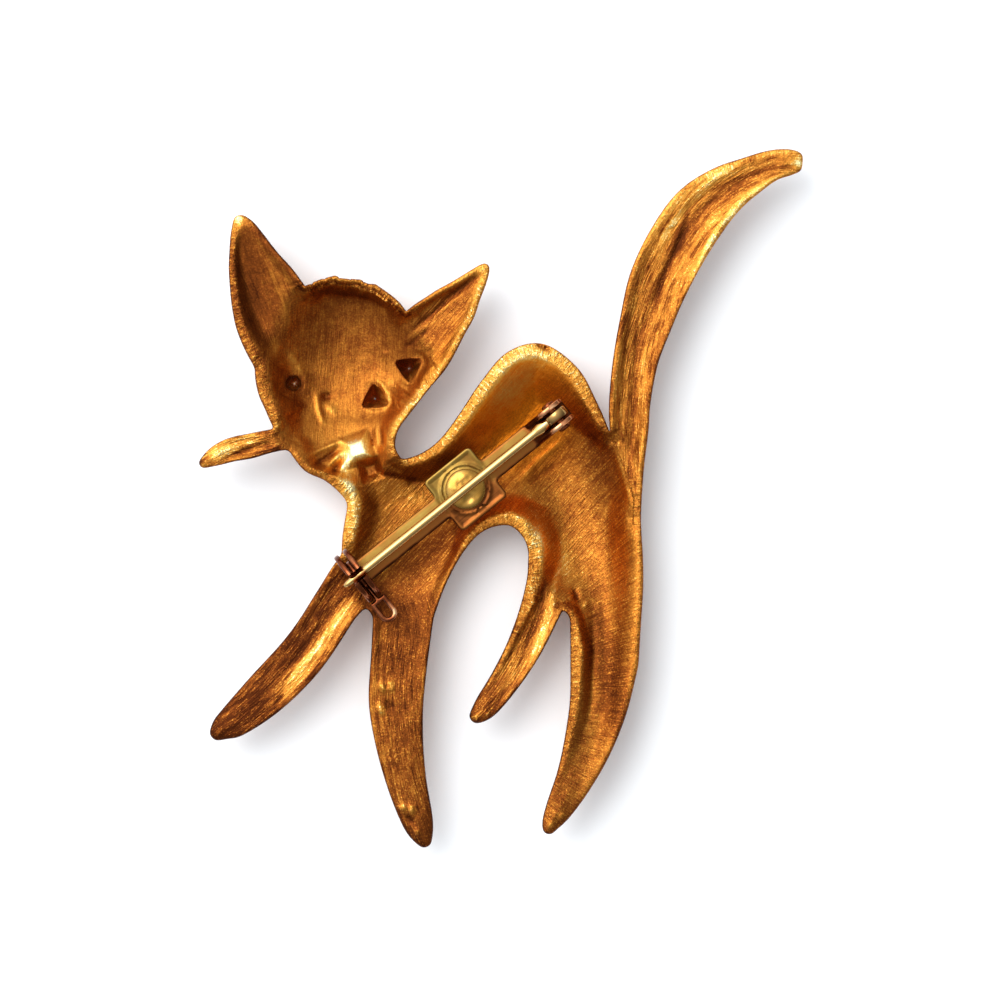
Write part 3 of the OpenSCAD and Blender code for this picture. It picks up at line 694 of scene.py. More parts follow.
# Stations along the outline: x and y on the photograph, width of the flat rim, how far its wall
# runs in and how far its outer edge falls away in mm, and how light it is painted: painted highlight where
# positive, painted shade where negative
RIM_STATIONS = [
    # tail, up its left side and down its right
    (612, 425, 0.3, 0.8, 0.1, 0.1),
    (612, 370, 0.3, 0.9, 0.1, 0.1),
    (622, 300, 0.3, 1.0, 0.15, -0.2),
    (638, 245, 0.3, 1.0, 0.15, 0.4),
    (685, 188, 0.4, 1.6, 0.15, 0.9),
    (740, 158, 0.4, 1.2, 0.2, 0.3),
    (790, 152, 0.3, 0.6, 0.1, 0.7),
    (801, 162, 0.3, 0.5, 0.05, 1.1),
    (780, 182, 0.2, 0.7, 0.1, 0.4),
    (728, 230, 0.5, 1.0, 0.1, 0.6),
    (692, 290, 0.2, 1.0, 0.1, 0.1),
    (662, 345, 0.2, 0.9, 0.1, -0.3),
    (648, 430, 0.3, 0.8, 0.1, -0.1),
    (641, 520, 0.35, 3.0, 0.15, 0.1),
    # haunch and rear leg
    (640, 600, 0.35, 3.4, 0.15, 0.05),
    (628, 680, 0.35, 2.8, 0.2, 0.1),
    (605, 750, 0.25, 1.6, 0.2, 0.05),
    (575, 810, 0.1, 0.8, 0.3, -0.1),
    (550, 833, 0.1, 0.5, 0.35, -0.4),
    (552, 790, 0.1, 0.8, 0.25, -0.2),
    (566, 710, 0.7, 1.2, 0.2, -0.2),
    (571, 650, 1.1, 1.1, 0.2, -0.15),
    (567, 613, 0.6, 0.6, 0.3, -0.5),
    # inner leg and belly
    (555, 628, 0.15, 0.8, 0.2, 0.1),
    (525, 680, 0.15, 0.8, 0.25, 0.0),
    (474, 720, 0.1, 0.5, 0.35, -0.4),
    (492, 685, 0.2, 0.7, 0.25, -0.2),
    (520, 635, 0.5, 0.5, 0.2, -0.1),
    (530, 600, 1.1, 0.4, 0.2, 0.1),
    (531, 565, 1.2, 2.0, 0.2, 0.3),
    (515, 535, 1.1, 2.4, 0.15, 0.3),
    (490, 528, 0.8, 1.8, 0.15, 0.05),
    (465, 560, 0.3, 0.8, 0.1, -0.1),
    # front leg
    (443, 615, 0.1, 1.0, 0.15, -0.1),
    (430, 690, 0.1, 1.0, 0.25, 0.0),
    (428, 770, 0.1, 0.9, 0.3, -0.1),
    (430, 845, 0.1, 0.5, 0.35, -0.5),
    (395, 800, 0.1, 0.8, 0.3, -0.2),
    (376, 720, 0.15, 0.9, 0.25, 0.1),
    (374, 660, 0.15, 0.9, 0.2, -0.1),
    (370, 612, 0.2, 0.6, 0.3, -0.6),
    # reaching leg
    (345, 635, 0.15, 0.9, 0.2, 0.0),
    (290, 695, 0.1, 0.9, 0.3, -0.4),
    (212, 738, 0.1, 0.5, 0.35, -0.6),
    (240, 688, 0.1, 0.8, 0.3, -0.3),
    (300, 612, 0.15, 0.9, 0.2, -0.1),
    (333, 562, 0.3, 0.9, 0.2, 0.1),
    # chest and neck
    (348, 535, 0.9, 2.0, 0.15, 0.45),
    (350, 490, 1.1, 2.0, 0.15, 0.7),
    (338, 470, 0.8, 0.7, 0.15, 0.1),
    (318, 472, 0.5, 0.8, 0.2, -0.1),
    (298, 452, 0.4, 2.0, 0.2, -0.2),
    # whisker
    (268, 452, 0.1, 1.0, 0.2, -0.2),
    (232, 458, 0.1, 0.5, 0.2, 0.0),
    (203, 465, 0.1, 0.4, 0.3, 0.2),
    (215, 447, 0.1, 0.5, 0.25, 0.1),
    (245, 437, 0.1, 0.5, 0.2, 0.3),
    # head's left side and left ear
    (272, 434, 0.4, 1.8, 0.2, 0.0),
    (272, 420, 0.9, 2.8, 0.2, -0.1),
    (256, 372, 0.9, 2.6, 0.2, -0.15),
    (240, 310, 0.7, 1.2, 0.2, -0.15),
    (231, 250, 0.5, 0.5, 0.15, -0.1),
    (237, 216, 0.5, 0.6, 0.1, 0.9),
    (258, 235, 0.25, 0.8, 0.2, -0.5),
    (285, 272, 0.2, 1.0, 0.15, -0.5),
    # crown
    (305, 290, 0.5, 0.8, 0.1, -0.2),
    (340, 279, 0.8, 0.6, 0.0, 0.1),
    (385, 292, 0.85, 0.5, 0.0, 0.1),
    (404, 311, 0.5, 0.5, 0.1, -0.2),
    # right ear
    (420, 303, 0.3, 0.6, 0.1, 0.1),
    (455, 277, 0.35, 0.6, 0.1, 0.5),
    (488, 263, 0.4, 0.5, 0.1, 0.9),
    (480, 310, 0.5, 0.5, 0.1, 0.8),
    (458, 362, 0.45, 0.7, 0.1, 0.3),
    (425, 415, 0.5, 1.8, 0.1, 0.4),
    # throat and back
    (393, 440, 0.4, 1.2, 0.15, -0.1),
    (402, 457, 0.6, 1.6, 0.15, -0.1),
    (432, 440, 0.8, 2.6, 0.15, 0.3),
    (470, 390, 0.9, 4.6, 0.15, 0.55),
    (512, 350, 1.0, 4.8, 0.15, 0.8),
    (552, 350, 1.1, 4.8, 0.15, 0.75),
    (590, 392, 0.9, 3.4, 0.15, 0.4),
    (606, 425, 0.6, 2.0, 0.15, 0.0),
]
stations = np.array(RIM_STATIONS)
_, station_edge = to_edge(from_photo(stations[:, 0:2]), edge_tree)
station_along = edge_along[station_edge]


def along_rim(k):
    order = np.argsort(station_along)
    return np.interp(rim_run, station_along[order], stations[order, k], period=edge_length)


rim_land = along_rim(2)
rim_wall = along_rim(3)
outer_drop = along_rim(4)
rim_light = along_rim(5)
rim_z = np.zeros(count)
unset = 99.0
floor_z = np.full(count, unset)
lowest = np.full(count, unset)
grain = np.zeros((count, 3))
sweep = np.zeros((count, 3))
sweep_share = np.zeros(count)
owner = np.full(count, -1)
layers = np.zeros(count, int)
names = list(lofts)


def unrolled(loft, row, u):
    centre = (loft[:, 0:2] + loft[:, 2:4]) / 2
    length = np.concatenate([[0], np.cumsum(np.linalg.norm(np.diff(centre, axis=0), axis=1))])
    widths = np.linalg.norm(loft[:, 2:4] - loft[:, 0:2], axis=1) / 2
    return np.interp(row, np.arange(len(loft)), length), u * np.interp(row, np.arange(len(loft)), widths)


floor_blend = 0.8
seam_reach = 0.6
edge_fall = 1.4
for k, (name, loft) in enumerate(lofts.items()):
    inside, row, u = in_strip(name, top_points)
    valley, sharp, deep = form_at(name, row)
    rim_here = column(loft, row, 5)
    depth = np.maximum(column(loft, row, 6), 0) * deep
    share = np.where(u < valley, (valley - u) / (valley + 1), (u - valley) / (1 - valley))
    rounded = np.sqrt(share ** 2 + 0.02) - np.sqrt(0.02)
    dish = np.clip(1 - rounded ** sharp, 0, 1)
    wall_in = np.clip((to_rim[inside] - rim_land[inside]) / rim_wall[inside], 0, 1)
    floor_here = rim_here - depth * dish * np.sin(wall_in * math.pi / 2) ** 1.2
    rim_z[inside] = np.maximum(rim_z[inside], rim_here)
    floor_z[inside] = soft_min(floor_z[inside], floor_here, floor_blend)
    along, across = unrolled(loft, row, u)
    layers[inside] += 2 ** k
    taken = floor_here < lowest[inside]
    chosen = inside[taken]
    lowest[chosen] = floor_here[taken]
    owner[chosen] = k
    grain[chosen, 0] = along[taken]
    grain[chosen, 1] = across[taken]
# What the file left just outside all the strips has its neighbour's heights
bare = np.where(owner < 0)[0]
within = np.where(owner >= 0)[0]
_, beside = to_edge(top_points[bare], tree_of(top_points[within]))
for values in (rim_z, floor_z, grain, owner):
    values[bare] = values[within[beside]]
top_z = np.minimum(rim_z, floor_z)
# The steps where one strip's edge lies in another are filed away
sides = np.vstack([top_tris[:, [0, 1]], top_tris[:, [1, 2]]])
seam = top_points[sides[layers[sides[:, 0]] != layers[sides[:, 1]]].ravel()]
from_seam, _ = to_edge(top_points, tree_of(seam))
top_z = filed(top_tris, top_z, 0.5 * np.exp(-(from_seam / seam_reach) ** 2), 40)
depth_below = rim_z - top_z
top_z -= outer_drop * np.clip(1 - to_rim / edge_fall, 0, 1) ** 1.5


def stroke_weight(points, width):
    line = from_photo(points)
    best = np.full(count, unset)
    run = np.zeros(count)
    total = 0.0
    for a, b in zip(line[:-1], line[1:]):
        d = b - a
        size = np.linalg.norm(d)
        t = np.clip(((top_points - a) @ d) / size ** 2, 0, 1)
        far = np.linalg.norm(top_points - a - t[:, None] * d, axis=1)
        closer = far < best
        best = np.where(closer, far, best)
        run = np.where(closer, total + t * size, run)
        total += size
    taper = np.clip(np.minimum(run, total - run) / (0.25 * total) + 0.35, 0, 1)
    return np.exp(-(best / width) ** 2) * taper


# Points, half width in mm, rise in mm and lightness of each tool mark, ridge, fold and groove. The
# lightness is painted light: painted highlight on the ridges and lit facets, painted shade in the grooves
MARKS = [
    # tail: dark groove, bright left and right facets, lower channel and its ridge
    ([(772, 166), (735, 184), (704, 208), (680, 240), (660, 285), (645, 330)], 0.45, -0.12, -0.5),
    ([(745, 163), (712, 180), (686, 203), (668, 228), (652, 262)], 0.4, 0.08, 0.8),
    ([(780, 176), (745, 198), (722, 224), (706, 250), (690, 290)], 0.4, 0.1, 0.45),
    ([(690, 214), (680, 240), (668, 265), (656, 300)], 0.22, -0.1, -0.35),
    ([(720, 222), (706, 238), (698, 252)], 0.2, -0.06, -0.35),
    ([(640, 325), (635, 365), (633, 420), (631, 470)], 0.35, -0.12, -0.4),
    ([(648, 330), (643, 370), (641, 420), (639, 480)], 0.3, 0.1, 0.3),
    ([(622, 340), (618, 380), (616, 430)], 0.35, 0.05, 0.15),
    ([(616, 450), (624, 478), (632, 508)], 0.3, 0.15, 0.3),
    # head and ears
    ([(268, 262), (280, 292), (290, 322)], 0.22, 0.1, 0.25),
    ([(256, 262), (266, 296), (276, 330)], 0.2, 0.06, 0.12),
    ([(480, 273), (455, 293), (430, 316), (408, 336)], 0.3, -0.22, -0.6),
    ([(456, 297), (430, 318), (406, 338)], 0.18, 0.12, 0.5),
    ([(428, 328), (416, 338), (405, 346)], 0.2, -0.15, -0.5),
    ([(288, 352), (296, 362), (303, 372)], 0.45, 0.18, 0.5),
    ([(280, 360), (290, 368)], 0.3, 0.1, 0.35),
    ([(316, 392), (318, 408), (323, 422)], 0.25, 0.2, 0.5),
    ([(322, 396), (330, 394)], 0.35, -0.3, -0.3),
    ([(328, 404), (334, 412)], 0.3, 0.12, 0.45),
    ([(379, 378), (385, 390), (390, 403)], 0.28, 0.28, 0.6),
    ([(362, 402), (373, 407), (386, 406)], 0.25, 0.2, 0.2),
    ([(398, 384), (412, 378), (420, 368)], 0.25, 0.12, 0.25),
    ([(340, 440), (322, 448), (309, 454)], 0.24, 0.25, 0.4),
    ([(338, 448), (324, 458), (314, 464)], 0.2, -0.25, -0.5),
    ([(340, 452), (328, 465), (320, 472)], 0.22, 0.25, 0.45),
    ([(344, 456), (335, 468), (330, 474)], 0.18, -0.25, -0.45),
    ([(347, 458), (341, 470), (338, 477)], 0.2, 0.2, 0.5),
    ([(371, 428), (373, 446)], 0.12, -0.14, -0.4),
    ([(376, 426), (378, 446)], 0.12, 0.1, 0.4),
    ([(380, 426), (383, 444)], 0.12, -0.14, -0.4),
    ([(385, 428), (388, 443)], 0.12, 0.1, 0.35),
    # neck and body
    ([(340, 450), (347, 470), (353, 492)], 0.65, 0.2, 0.9),
    ([(352, 492), (357, 520), (352, 552)], 0.4, 0.08, 0.45),
    ([(383, 473), (402, 477), (421, 480)], 0.25, -0.15, -0.5),
    ([(536, 343), (542, 345), (549, 349)], 0.22, -0.3, -1.0),
    ([(521, 478), (540, 458), (562, 440)], 0.3, 0.2, 0.35),
    ([(533, 480), (556, 462)], 0.3, -0.1, -0.3),
    ([(470, 444), (492, 438)], 0.5, 0.08, 0.3),
    ([(376, 492), (398, 486), (420, 500)], 0.8, 0.1, 0.3),
    ([(574, 588), (578, 600)], 0.3, -0.25, -0.7),
    ([(584, 606), (588, 600)], 0.18, 0.15, 0.5),
    # legs: valley of the inner rear leg, its lit wall, knees and paws with cast lumps
    ([(546, 572), (540, 610), (526, 648)], 0.3, -0.1, -0.5),
    ([(560, 562), (554, 590), (546, 625), (528, 662)], 0.28, 0.1, 0.7),
    ([(592, 606), (594, 650), (592, 700), (588, 720)], 0.35, -0.15, -0.1),
    ([(612, 560), (612, 620), (606, 690)], 0.6, 0.0, 0.1),
    ([(352, 602), (322, 640), (300, 668), (284, 690)], 0.55, 0.05, 1.1),
    ([(340, 600), (310, 640), (288, 668)], 0.3, -0.08, -0.45),
    ([(381, 683), (384, 690)], 0.26, 0.2, 0.9),
    ([(390, 680), (391, 690)], 0.26, 0.18, 0.9),
    ([(386, 699), (391, 709)], 0.26, -0.15, -0.4),
    ([(379, 704), (382, 712)], 0.24, 0.18, 0.8),
    ([(402, 804), (404, 809)], 0.26, 0.22, 1.0),
    ([(411, 804), (412, 812)], 0.26, 0.22, 1.1),
    ([(407, 815), (413, 822)], 0.26, -0.2, -0.5),
    ([(416, 828), (418, 834)], 0.26, 0.18, 0.5),
    ([(475, 718), (477, 716)], 0.22, 0.16, 0.6),
    ([(486, 714), (489, 711)], 0.2, 0.14, 0.5),
    ([(549, 826), (552, 822)], 0.22, 0.16, 0.5),
    ([(560, 818), (563, 812)], 0.2, 0.12, 0.4),
    ([(206, 458), (222, 450), (240, 444), (262, 440)], 0.25, 0.06, 0.5),
    ([(222, 460), (240, 452), (256, 446)], 0.2, -0.1, -0.5),
]
mark_light = 1.35
patina_and_painted_light = np.zeros(count)
for points, width, rise, light in MARKS:
    weight = stroke_weight(points, width)
    top_z += rise * weight
    patina_and_painted_light += mark_light * light * weight

# x, y, reach along and across in pixels, turn and lightness of each broad patch. The patches are partly
# patina and polish and partly painted shade and painted highlight, among them the painted shadows of the
# bar and the catch
PATCHES = [
    (252, 285, 75, 24, 98, -0.75),
    (345, 322, 58, 30, -12, -0.2),
    (350, 292, 50, 9, -5, -0.35),
    (300, 400, 40, 14, 60, -0.2),
    (336, 426, 34, 26, 0, 0.5),
    (392, 392, 30, 16, 60, 0.35),
    (406, 412, 44, 12, 55, 0.5),
    (450, 320, 70, 16, 55, -0.25),
    (294, 382, 9, 7, 0, -0.5),
    (275, 348, 4.5, 8, 0, 0.9),
    (239, 219, 5, 7, 0, 1.2),
    (795, 162, 8, 5, 10, 0.9),
    (357, 448, 10, 11, 18, 0.8),
    (370, 468, 9, 8, 18, -0.25),
    (600, 440, 50, 14, 110, -0.4),
    (560, 450, 30, 14, 60, -0.2),
    (580, 515, 48, 26, 70, 0.0),
    (400, 510, 40, 24, 30, 0.15),
    # painted shadow that the pin bar casts on the body below it
    (440, 545, 50, 14, 40, -0.5),
    (430, 600, 40, 30, 80, -0.1),
    (298, 634, 80, 14, 55, -0.7),
    (245, 708, 30, 18, 40, -0.6),
    (403, 700, 110, 26, 92, -0.5),
    (412, 625, 38, 30, 90, -0.5),
    (422, 822, 26, 16, 72, -0.5),
    (608, 665, 66, 18, 97, -0.5),
    (560, 800, 26, 16, 66, -0.2),
    (488, 706, 22, 14, 50, -0.5),
    (545, 635, 34, 10, 68, 0.35),
    (546, 537, 45, 13, -60, 1.2),
    (583, 660, 64, 9, 96, 0.45),
    (335, 420, 24, 20, 0, -0.25),
    (616, 700, 70, 14, 100, -0.5),
    (575, 770, 60, 20, 66, -0.25),
    (290, 660, 60, 16, 50, -0.25),
    (228, 726, 20, 14, 40, -0.6),
    # the next two are the painted shadow that the catch casts on the casting
    (378, 598, 22, 13, -50, -0.8),
    (350, 575, 12, 18, -50, -0.5),
    (512, 385, 40, 18, 50, 1.0),
    (700, 240, 90, 12, 58, 0.35),
    (628, 410, 60, 16, 92, 0.25),
    (222, 452, 12, 8, 20, 1.2),
    (245, 441, 14, 7, 10, 1.0),
    (262, 444, 12, 9, 10, -0.4),
]
for x, y, reach, wide, turn, light in PATCHES:
    off = spun(top_points - from_photo([(x, y)]), -turn) / (np.array([reach, wide]) * photo_px)
    patina_and_painted_light += light * np.exp(-(off ** 2).sum(1))

# The sawn casting gate's square stub on the neck, with a square recess below it
gate_at = (26.3, 57.3)
recess_at = (28.6, 54.3)
recess_floor = head_rim_z * 0.56
stub_turn = 18
stub_slope_turn = -40


def block_weight(at, side, soft):
    off = np.abs(spun(top_points - place(*at), -stub_turn))
    return np.clip((side / 2 - off.max(1)) / soft + 0.5, 0, 1)


gate = block_weight(gate_at, 2.1, 1.0)
recess = block_weight(recess_at, 1.5, 0.7)
gate_rise = 0.75 + 0.12 * spun(top_points - place(*gate_at), -stub_slope_turn)[:, 0]
top_z += gate_rise * gate
patina_and_painted_light += 1.1 * gate
top_z += np.minimum(recess_floor - top_z, 0) * recess

# The crown's two rows of cast fur teeth stand across its edge
crown_corners = [(298, 272), (412, 324)]
tooth_pitch = 0.36
crown = from_photo(crown_corners)
on_crown = (top_points[:, 0] > crown[0, 0]) & (top_points[:, 0] < crown[1, 0])
on_crown &= (top_points[:, 1] < crown[0, 1]) & (top_points[:, 1] > crown[1, 1])
teeth = 0.5 + 0.5 * np.cos(math.tau * rim_run / tooth_pitch)
outer_row = np.exp(-((to_rim - 0.2) / 0.16) ** 2)
inner_row = np.exp(-((to_rim - 0.78) / 0.24) ** 2)
gap_row = np.exp(-((to_rim - 0.46) / 0.08) ** 2)
top_z += on_crown * (0.1 * outer_row * teeth + 0.16 * inner_row * teeth - 0.1 * gap_row)
# The teeth are painted lighter and the gap between the rows darker: painted highlight and painted shade
patina_and_painted_light += on_crown * (0.5 * inner_row * teeth + 0.1 * outer_row - 0.8 * gap_row)

# The rim carries the painted highlight and painted shade that its stations give, and its outermost edge
# and the holes' edges are painted dark as painted shade
from_land = to_rim - rim_land
patina_and_painted_light += rim_light * np.clip(1.4 - from_land / 0.4, 0, 1)
patina_and_painted_light -= 0.8 * np.clip(1 - to_rim / 0.13, 0, 1)
patina_and_painted_light -= 0.5 * np.clip(1 - to_hole / 0.15, 0, 1)
rimness = np.clip(1.2 - from_land / 0.4, 0, 1) * np.clip((rim_land - 0.15) / 0.35, 0, 1)

# Light that goes back and forth between the gold walls turns them a deep orange
arch_middle = (508, 400)
arch_reach = 72
in_arch = np.linalg.norm(top_points - from_photo([arch_middle]), axis=1) / (arch_reach * photo_px)
in_arch = np.exp(-in_arch ** 4)
on_body = owner == names.index("body")
on_wall = np.clip(from_land / 0.3, 0, 1) * np.clip(1.3 - from_land / (rim_wall + 0.3), 0, 1)
wall_warmth = 0.08 * on_body * on_wall * np.clip((rim_wall - 1.2) / 0.8, 0, 1)
warmth = np.maximum(wall_warmth, in_arch * (1 - rimness))

# The whole back is a little uneven, its rims most
rough = np.array([
    noise.noise((x * 2.2, y * 2.2, 0)) + 0.6 * noise.noise((x * 4.6, y * 4.6, 3))
    for x, y in top_points])
top_z += rough * (0.018 + 0.03 * rimness)
top_z -= 0.12 * np.clip(1 - to_rim / 0.16, 0, 1) ** 2

# The wire brush went straight over the head, and over the body in strokes that fan out to the haunch
head_turn = 86
fan_turn = 48
fan_middle = (430, 700)
fan_reach = 18
leg_root = [(480, 560), (480, 650)]
sweep[:, :2] = spun(top_points, -head_turn)
from_fan = spun(top_points - from_photo([fan_middle]), -fan_turn)
fans = on_body & (from_fan[:, 1] < 0)
sweep[on_body, :2] = from_fan[on_body]
sweep[fans, 0] = np.linalg.norm(from_fan[fans], axis=1)
sweep[fans, 1] = np.arctan2(from_fan[fans, 1], from_fan[fans, 0]) * fan_reach
sweep_share[owner == names.index("head")] = 1
leg_top, leg_low = from_photo(leg_root)
sweep_share[on_body] = np.where(
    top_points[on_body, 0] > leg_top[0], 1,
    np.clip((top_points[on_body, 1] - leg_low[1]) / (leg_top[1] - leg_low[1]), 0, 1))

# The front is finished plainly: every strip is rounded under, from just below its rim to its keel
round_share = 0.37
front_count = len(front_points)
from_outline, _ = to_edge(front_points, edge_tree)
front_z = np.full(front_count, unset)
front_grain = np.zeros((front_count, 3))
for name, loft in lofts.items():
    inside, row, u = in_strip(name, front_points)
    keel = column(loft, row, 4)
    rim_here = column(loft, row, 5)
    edge_z = rim_here - np.minimum(rim_edge, (rim_here - keel) * 0.4)
    across_x = column(loft, row, 0) - column(loft, row, 2)
    across_y = column(loft, row, 1) - column(loft, row, 3)
    rounding = round_share * np.hypot(across_x, across_y)
    round_under = np.sqrt(1 - (1 - np.clip(from_outline[inside] / rounding, 0, 1)) ** 2)
    front_here = edge_z - (edge_z - keel) * round_under
    along, across = unrolled(loft, row, u)
    taken = front_here < front_z[inside]
    chosen = inside[taken]
    front_z[chosen] = front_here[taken]
    front_grain[chosen, 0] = along[taken]
    front_grain[chosen, 1] = (across + np.clip(3 * u, -1, 1) * front_here)[taken]
bare = np.where(front_z == unset)[0]
within = np.where(front_z < unset)[0]
_, beside = to_edge(front_points[bare], tree_of(front_points[within]))
for values in (front_z, front_grain):
    values[bare] = values[within[beside]]
front_z = filed(front_tris, front_z, 0.5 * np.clip((from_outline - 0.5) / 0.6, 0, 1), 16)

# Dark tarnish is left in the brushed lines of the limbs
TARNISH = {
    "tail": 0.7,
    "whisker": 1.2,
    "left_ear": 0.2,
    "right_ear": 0.3,
    "reaching_leg": 1.0,
    "inner_leg": 0.6,
    "head": 0.15,
    "body": 0.1,
}
tarnish = np.array([TARNISH[names[k]] if k >= 0 else 0.0 for k in owner])
on_shin = on_body & (top_points[:, 0] < leg_top[0])
tarnish[on_shin] = 0.5 * (1 - sweep_share[on_shin])
# The sheltered bowl of the head is matt, and the worn faces of the limbs are glossier, more deeply brushed
# and carry painted glints
GLINT = {
    "tail": 0.8,
    "whisker": 1.0,
    "left_ear": 0.15,
    "right_ear": 0.6,
    "reaching_leg": 1.0,
    "inner_leg": 1.0,
    "head": 0.2,
    "body": 0.8,
}
glint = np.array([GLINT[names[k]] if k >= 0 else 0.8 for k in owner])
glint *= 1 - 0.85 * in_arch
glint = np.maximum(glint, 0.8 * rimness)

# The pierced holes' walls are painted lighter, the round one's most: painted light
holes_end = sum(len(bound) for bound in front_bounds)
front_painted_light = np.zeros(front_count)
front_painted_light[len(outline):holes_end] = 0.3
front_painted_light[holes_end - len(holes[-1]):holes_end] = 1.4
# On the rim and down its outer wall the grain follows the edge
on_edge = len(outline)
edge_grain = np.column_stack([to_rim, rim_run, np.zeros(count)])
front_edge = front_grain.copy()
front_edge[:on_edge] = np.column_stack([np.full(on_edge, -2.0), rim_run[:on_edge], np.zeros(on_edge)])

cat_mesh = bpy.data.meshes.new("cast_cat")
cat_verts, cat_faces = closed_skin(
    cat_bounds, np.column_stack([top_points, top_z]), top_tris,
    np.column_stack([front_points, front_z]), front_tris)
cat_mesh.from_pydata((cat_verts * MM).tolist(), [], cat_faces)
cat_mesh.shade_smooth()
cat_mesh.set_sharp_from_angle(angle=math.radians(55))


def paint(mesh, name, values):
    kind, key = ("FLOAT_VECTOR", "vector") if values.ndim == 2 else ("FLOAT", "value")
    layer = mesh.attributes.new(name, kind, "POINT")
    layer.data.foreach_set(key, np.ascontiguousarray(values, dtype=np.float32).ravel())


# What the material reads at each point, on the back and on the front
PAINTED = {
    "grain": (grain, front_grain),
    "sweep": (sweep, front_grain),
    "sweep_share": (sweep_share, 0),
    "edge_grain": (edge_grain, front_edge),
    "patina_and_painted_light": (patina_and_painted_light, front_painted_light),
    "tarnish": (tarnish, 0),
    "warmth": (warmth, 0),
    "glint": (glint, 0.5),
    "rim": (rimness, 0),
    "hollow": (np.clip(depth_below / 3, 0, 1), 0),
}
for name, (on_back, on_front) in PAINTED.items():
    on_front = np.broadcast_to(on_front, (front_count, *on_back.shape[1:]))
    paint(cat_mesh, name, np.concatenate([on_back, on_front]))
cat = bpy.data.objects.new("cast_cat", cat_mesh)
bpy.context.scene.collection.objects.link(cat)
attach(cat, "brooch")
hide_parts("cat_casting")


# A shader node group takes named values and gives back colours, masks or heights
def node_group(name, inputs, outputs):
    group = bpy.data.node_groups.new(name, "ShaderNodeTree")
    for label, (kind, value) in inputs.items():
        socket = group.interface.new_socket(label, in_out="INPUT", socket_type=kind)
        if value is not None:
            socket.default_value = value
    for label, kind in outputs.items():
        group.interface.new_socket(label, in_out="OUTPUT", socket_type=kind)
    return group, group.nodes.new("NodeGroupInput").outputs, group.nodes.new("NodeGroupOutput").inputs


def maths(tree, operation, a, b=None, c=None):
    inputs = {k: value for k, value in enumerate((a, b, c)) if value is not None}
    return node_of(tree, "ShaderNodeMath", inputs, operation=operation).outputs[0]


def painted(tree, name, kind="Fac"):
    return node_of(tree, "ShaderNodeAttribute", attribute_name=name).outputs[kind]


# A value that swings about a half adds its share of the swing to the base
def swayed(tree, value, share, base):
    return maths(tree, "MULTIPLY_ADD", maths(tree, "SUBTRACT", value, 0.5), share, base)


def place_in_mm(tree):
    place_at = node_of(tree, "ShaderNodeTexCoord").outputs["Object"]
    scaled = node_of(tree, "ShaderNodeVectorMath", {0: place_at, "Scale": 1 / MM}, operation="SCALE")
    return scaled.outputs[0]


# Fine scratches all in one direction, as a wire brush leaves them
brushed, given, result = node_group(
    "brushed_lines",
    {
        "Place": ("NodeSocketVector", None),
        "Length": ("NodeSocketFloat", 4.0),
        "Pitch": ("NodeSocketFloat", 0.15),
    },
    {"Lines": "NodeSocketFloat"})
one_line = node_of(brushed, "ShaderNodeCombineXYZ", {
    "X": maths(brushed, "DIVIDE", 1.0, given["Length"]),
    "Y": maths(brushed, "DIVIDE", 1.0, given["Pitch"]),
    "Z": 1.0})
stretched = node_of(brushed, "ShaderNodeVectorMath", {
    0: given["Place"], 1: one_line.outputs[0]}, operation="MULTIPLY")
lines = node_of(brushed, "ShaderNodeTexNoise", {
    "Vector": stretched.outputs[0], "Scale": 1.0, "Detail": 3.0, "Roughness": 0.6})
brushed.links.new(lines.outputs["Fac"], result["Lines"])

# Small beads and pits that the mould leaves in cast metal
grained, given, result = node_group(
    "cast_grain",
    {"Place": ("NodeSocketVector", None), "Pitch": ("NodeSocketFloat", 0.2)},
    {"Beads": "NodeSocketFloat", "Clouds": "NodeSocketFloat"})
bead_place = node_of(grained, "ShaderNodeVectorMath", {
    0: given["Place"], "Scale": maths(grained, "DIVIDE", 1.0, given["Pitch"])}, operation="SCALE")
beads = node_of(grained, "ShaderNodeTexNoise", {
    "Vector": bead_place.outputs[0], "Scale": 1.0, "Detail": 2.0, "Roughness": 0.65})
clouds = node_of(grained, "ShaderNodeTexNoise", {
    "Vector": bead_place.outputs[0], "Scale": 0.14, "Detail": 2.0, "Roughness": 0.5})
grained.links.new(beads.outputs["Fac"], result["Beads"])
grained.links.new(clouds.outputs["Fac"], result["Clouds"])


def use_group(tree, group, inputs):
    return node_of(tree, "ShaderNodeGroup", inputs, node_tree=group).outputs


# Gold plate over the cast metal: brushed lines on its faces, beads on its rims, tarnish in its streaks
grain_depth = 0.14 * MM
gold = bpy.data.materials.new("cast_gold")
gold.use_nodes = True
tree = gold.node_tree
shader = tree.nodes["Principled BSDF"]
grain_at = painted(tree, "grain", "Vector")
edge_at = painted(tree, "edge_grain", "Vector")
sweep_at = painted(tree, "sweep", "Vector")
swept = painted(tree, "sweep_share")
patina_and_painted_light_at = painted(tree, "patina_and_painted_light")
rim_at = painted(tree, "rim")
hollow_at = painted(tree, "hollow")
tarnish_at = painted(tree, "tarnish")
glint_at = painted(tree, "glint")
warmth_at = painted(tree, "warmth")
face_lines = []
for brush_at in (grain_at, sweep_at):
    fine_lines = use_group(tree, brushed, {"Place": brush_at, "Length": 1.6, "Pitch": 0.12})["Lines"]
    broad_lines = use_group(tree, brushed, {"Place": brush_at, "Length": 3.5, "Pitch": 0.42})["Lines"]
    broad_share = maths(tree, "MULTIPLY", broad_lines, 0.32)
    face_lines.append(maths(tree, "MULTIPLY_ADD", fine_lines, 0.68, broad_share))
face_mix = node_of(tree, "ShaderNodeMix", {0: swept, 2: face_lines[0], 3: face_lines[1]}).outputs[0]
rim_lines = use_group(tree, brushed, {"Place": edge_at, "Length": 0.8, "Pitch": 0.22})["Lines"]
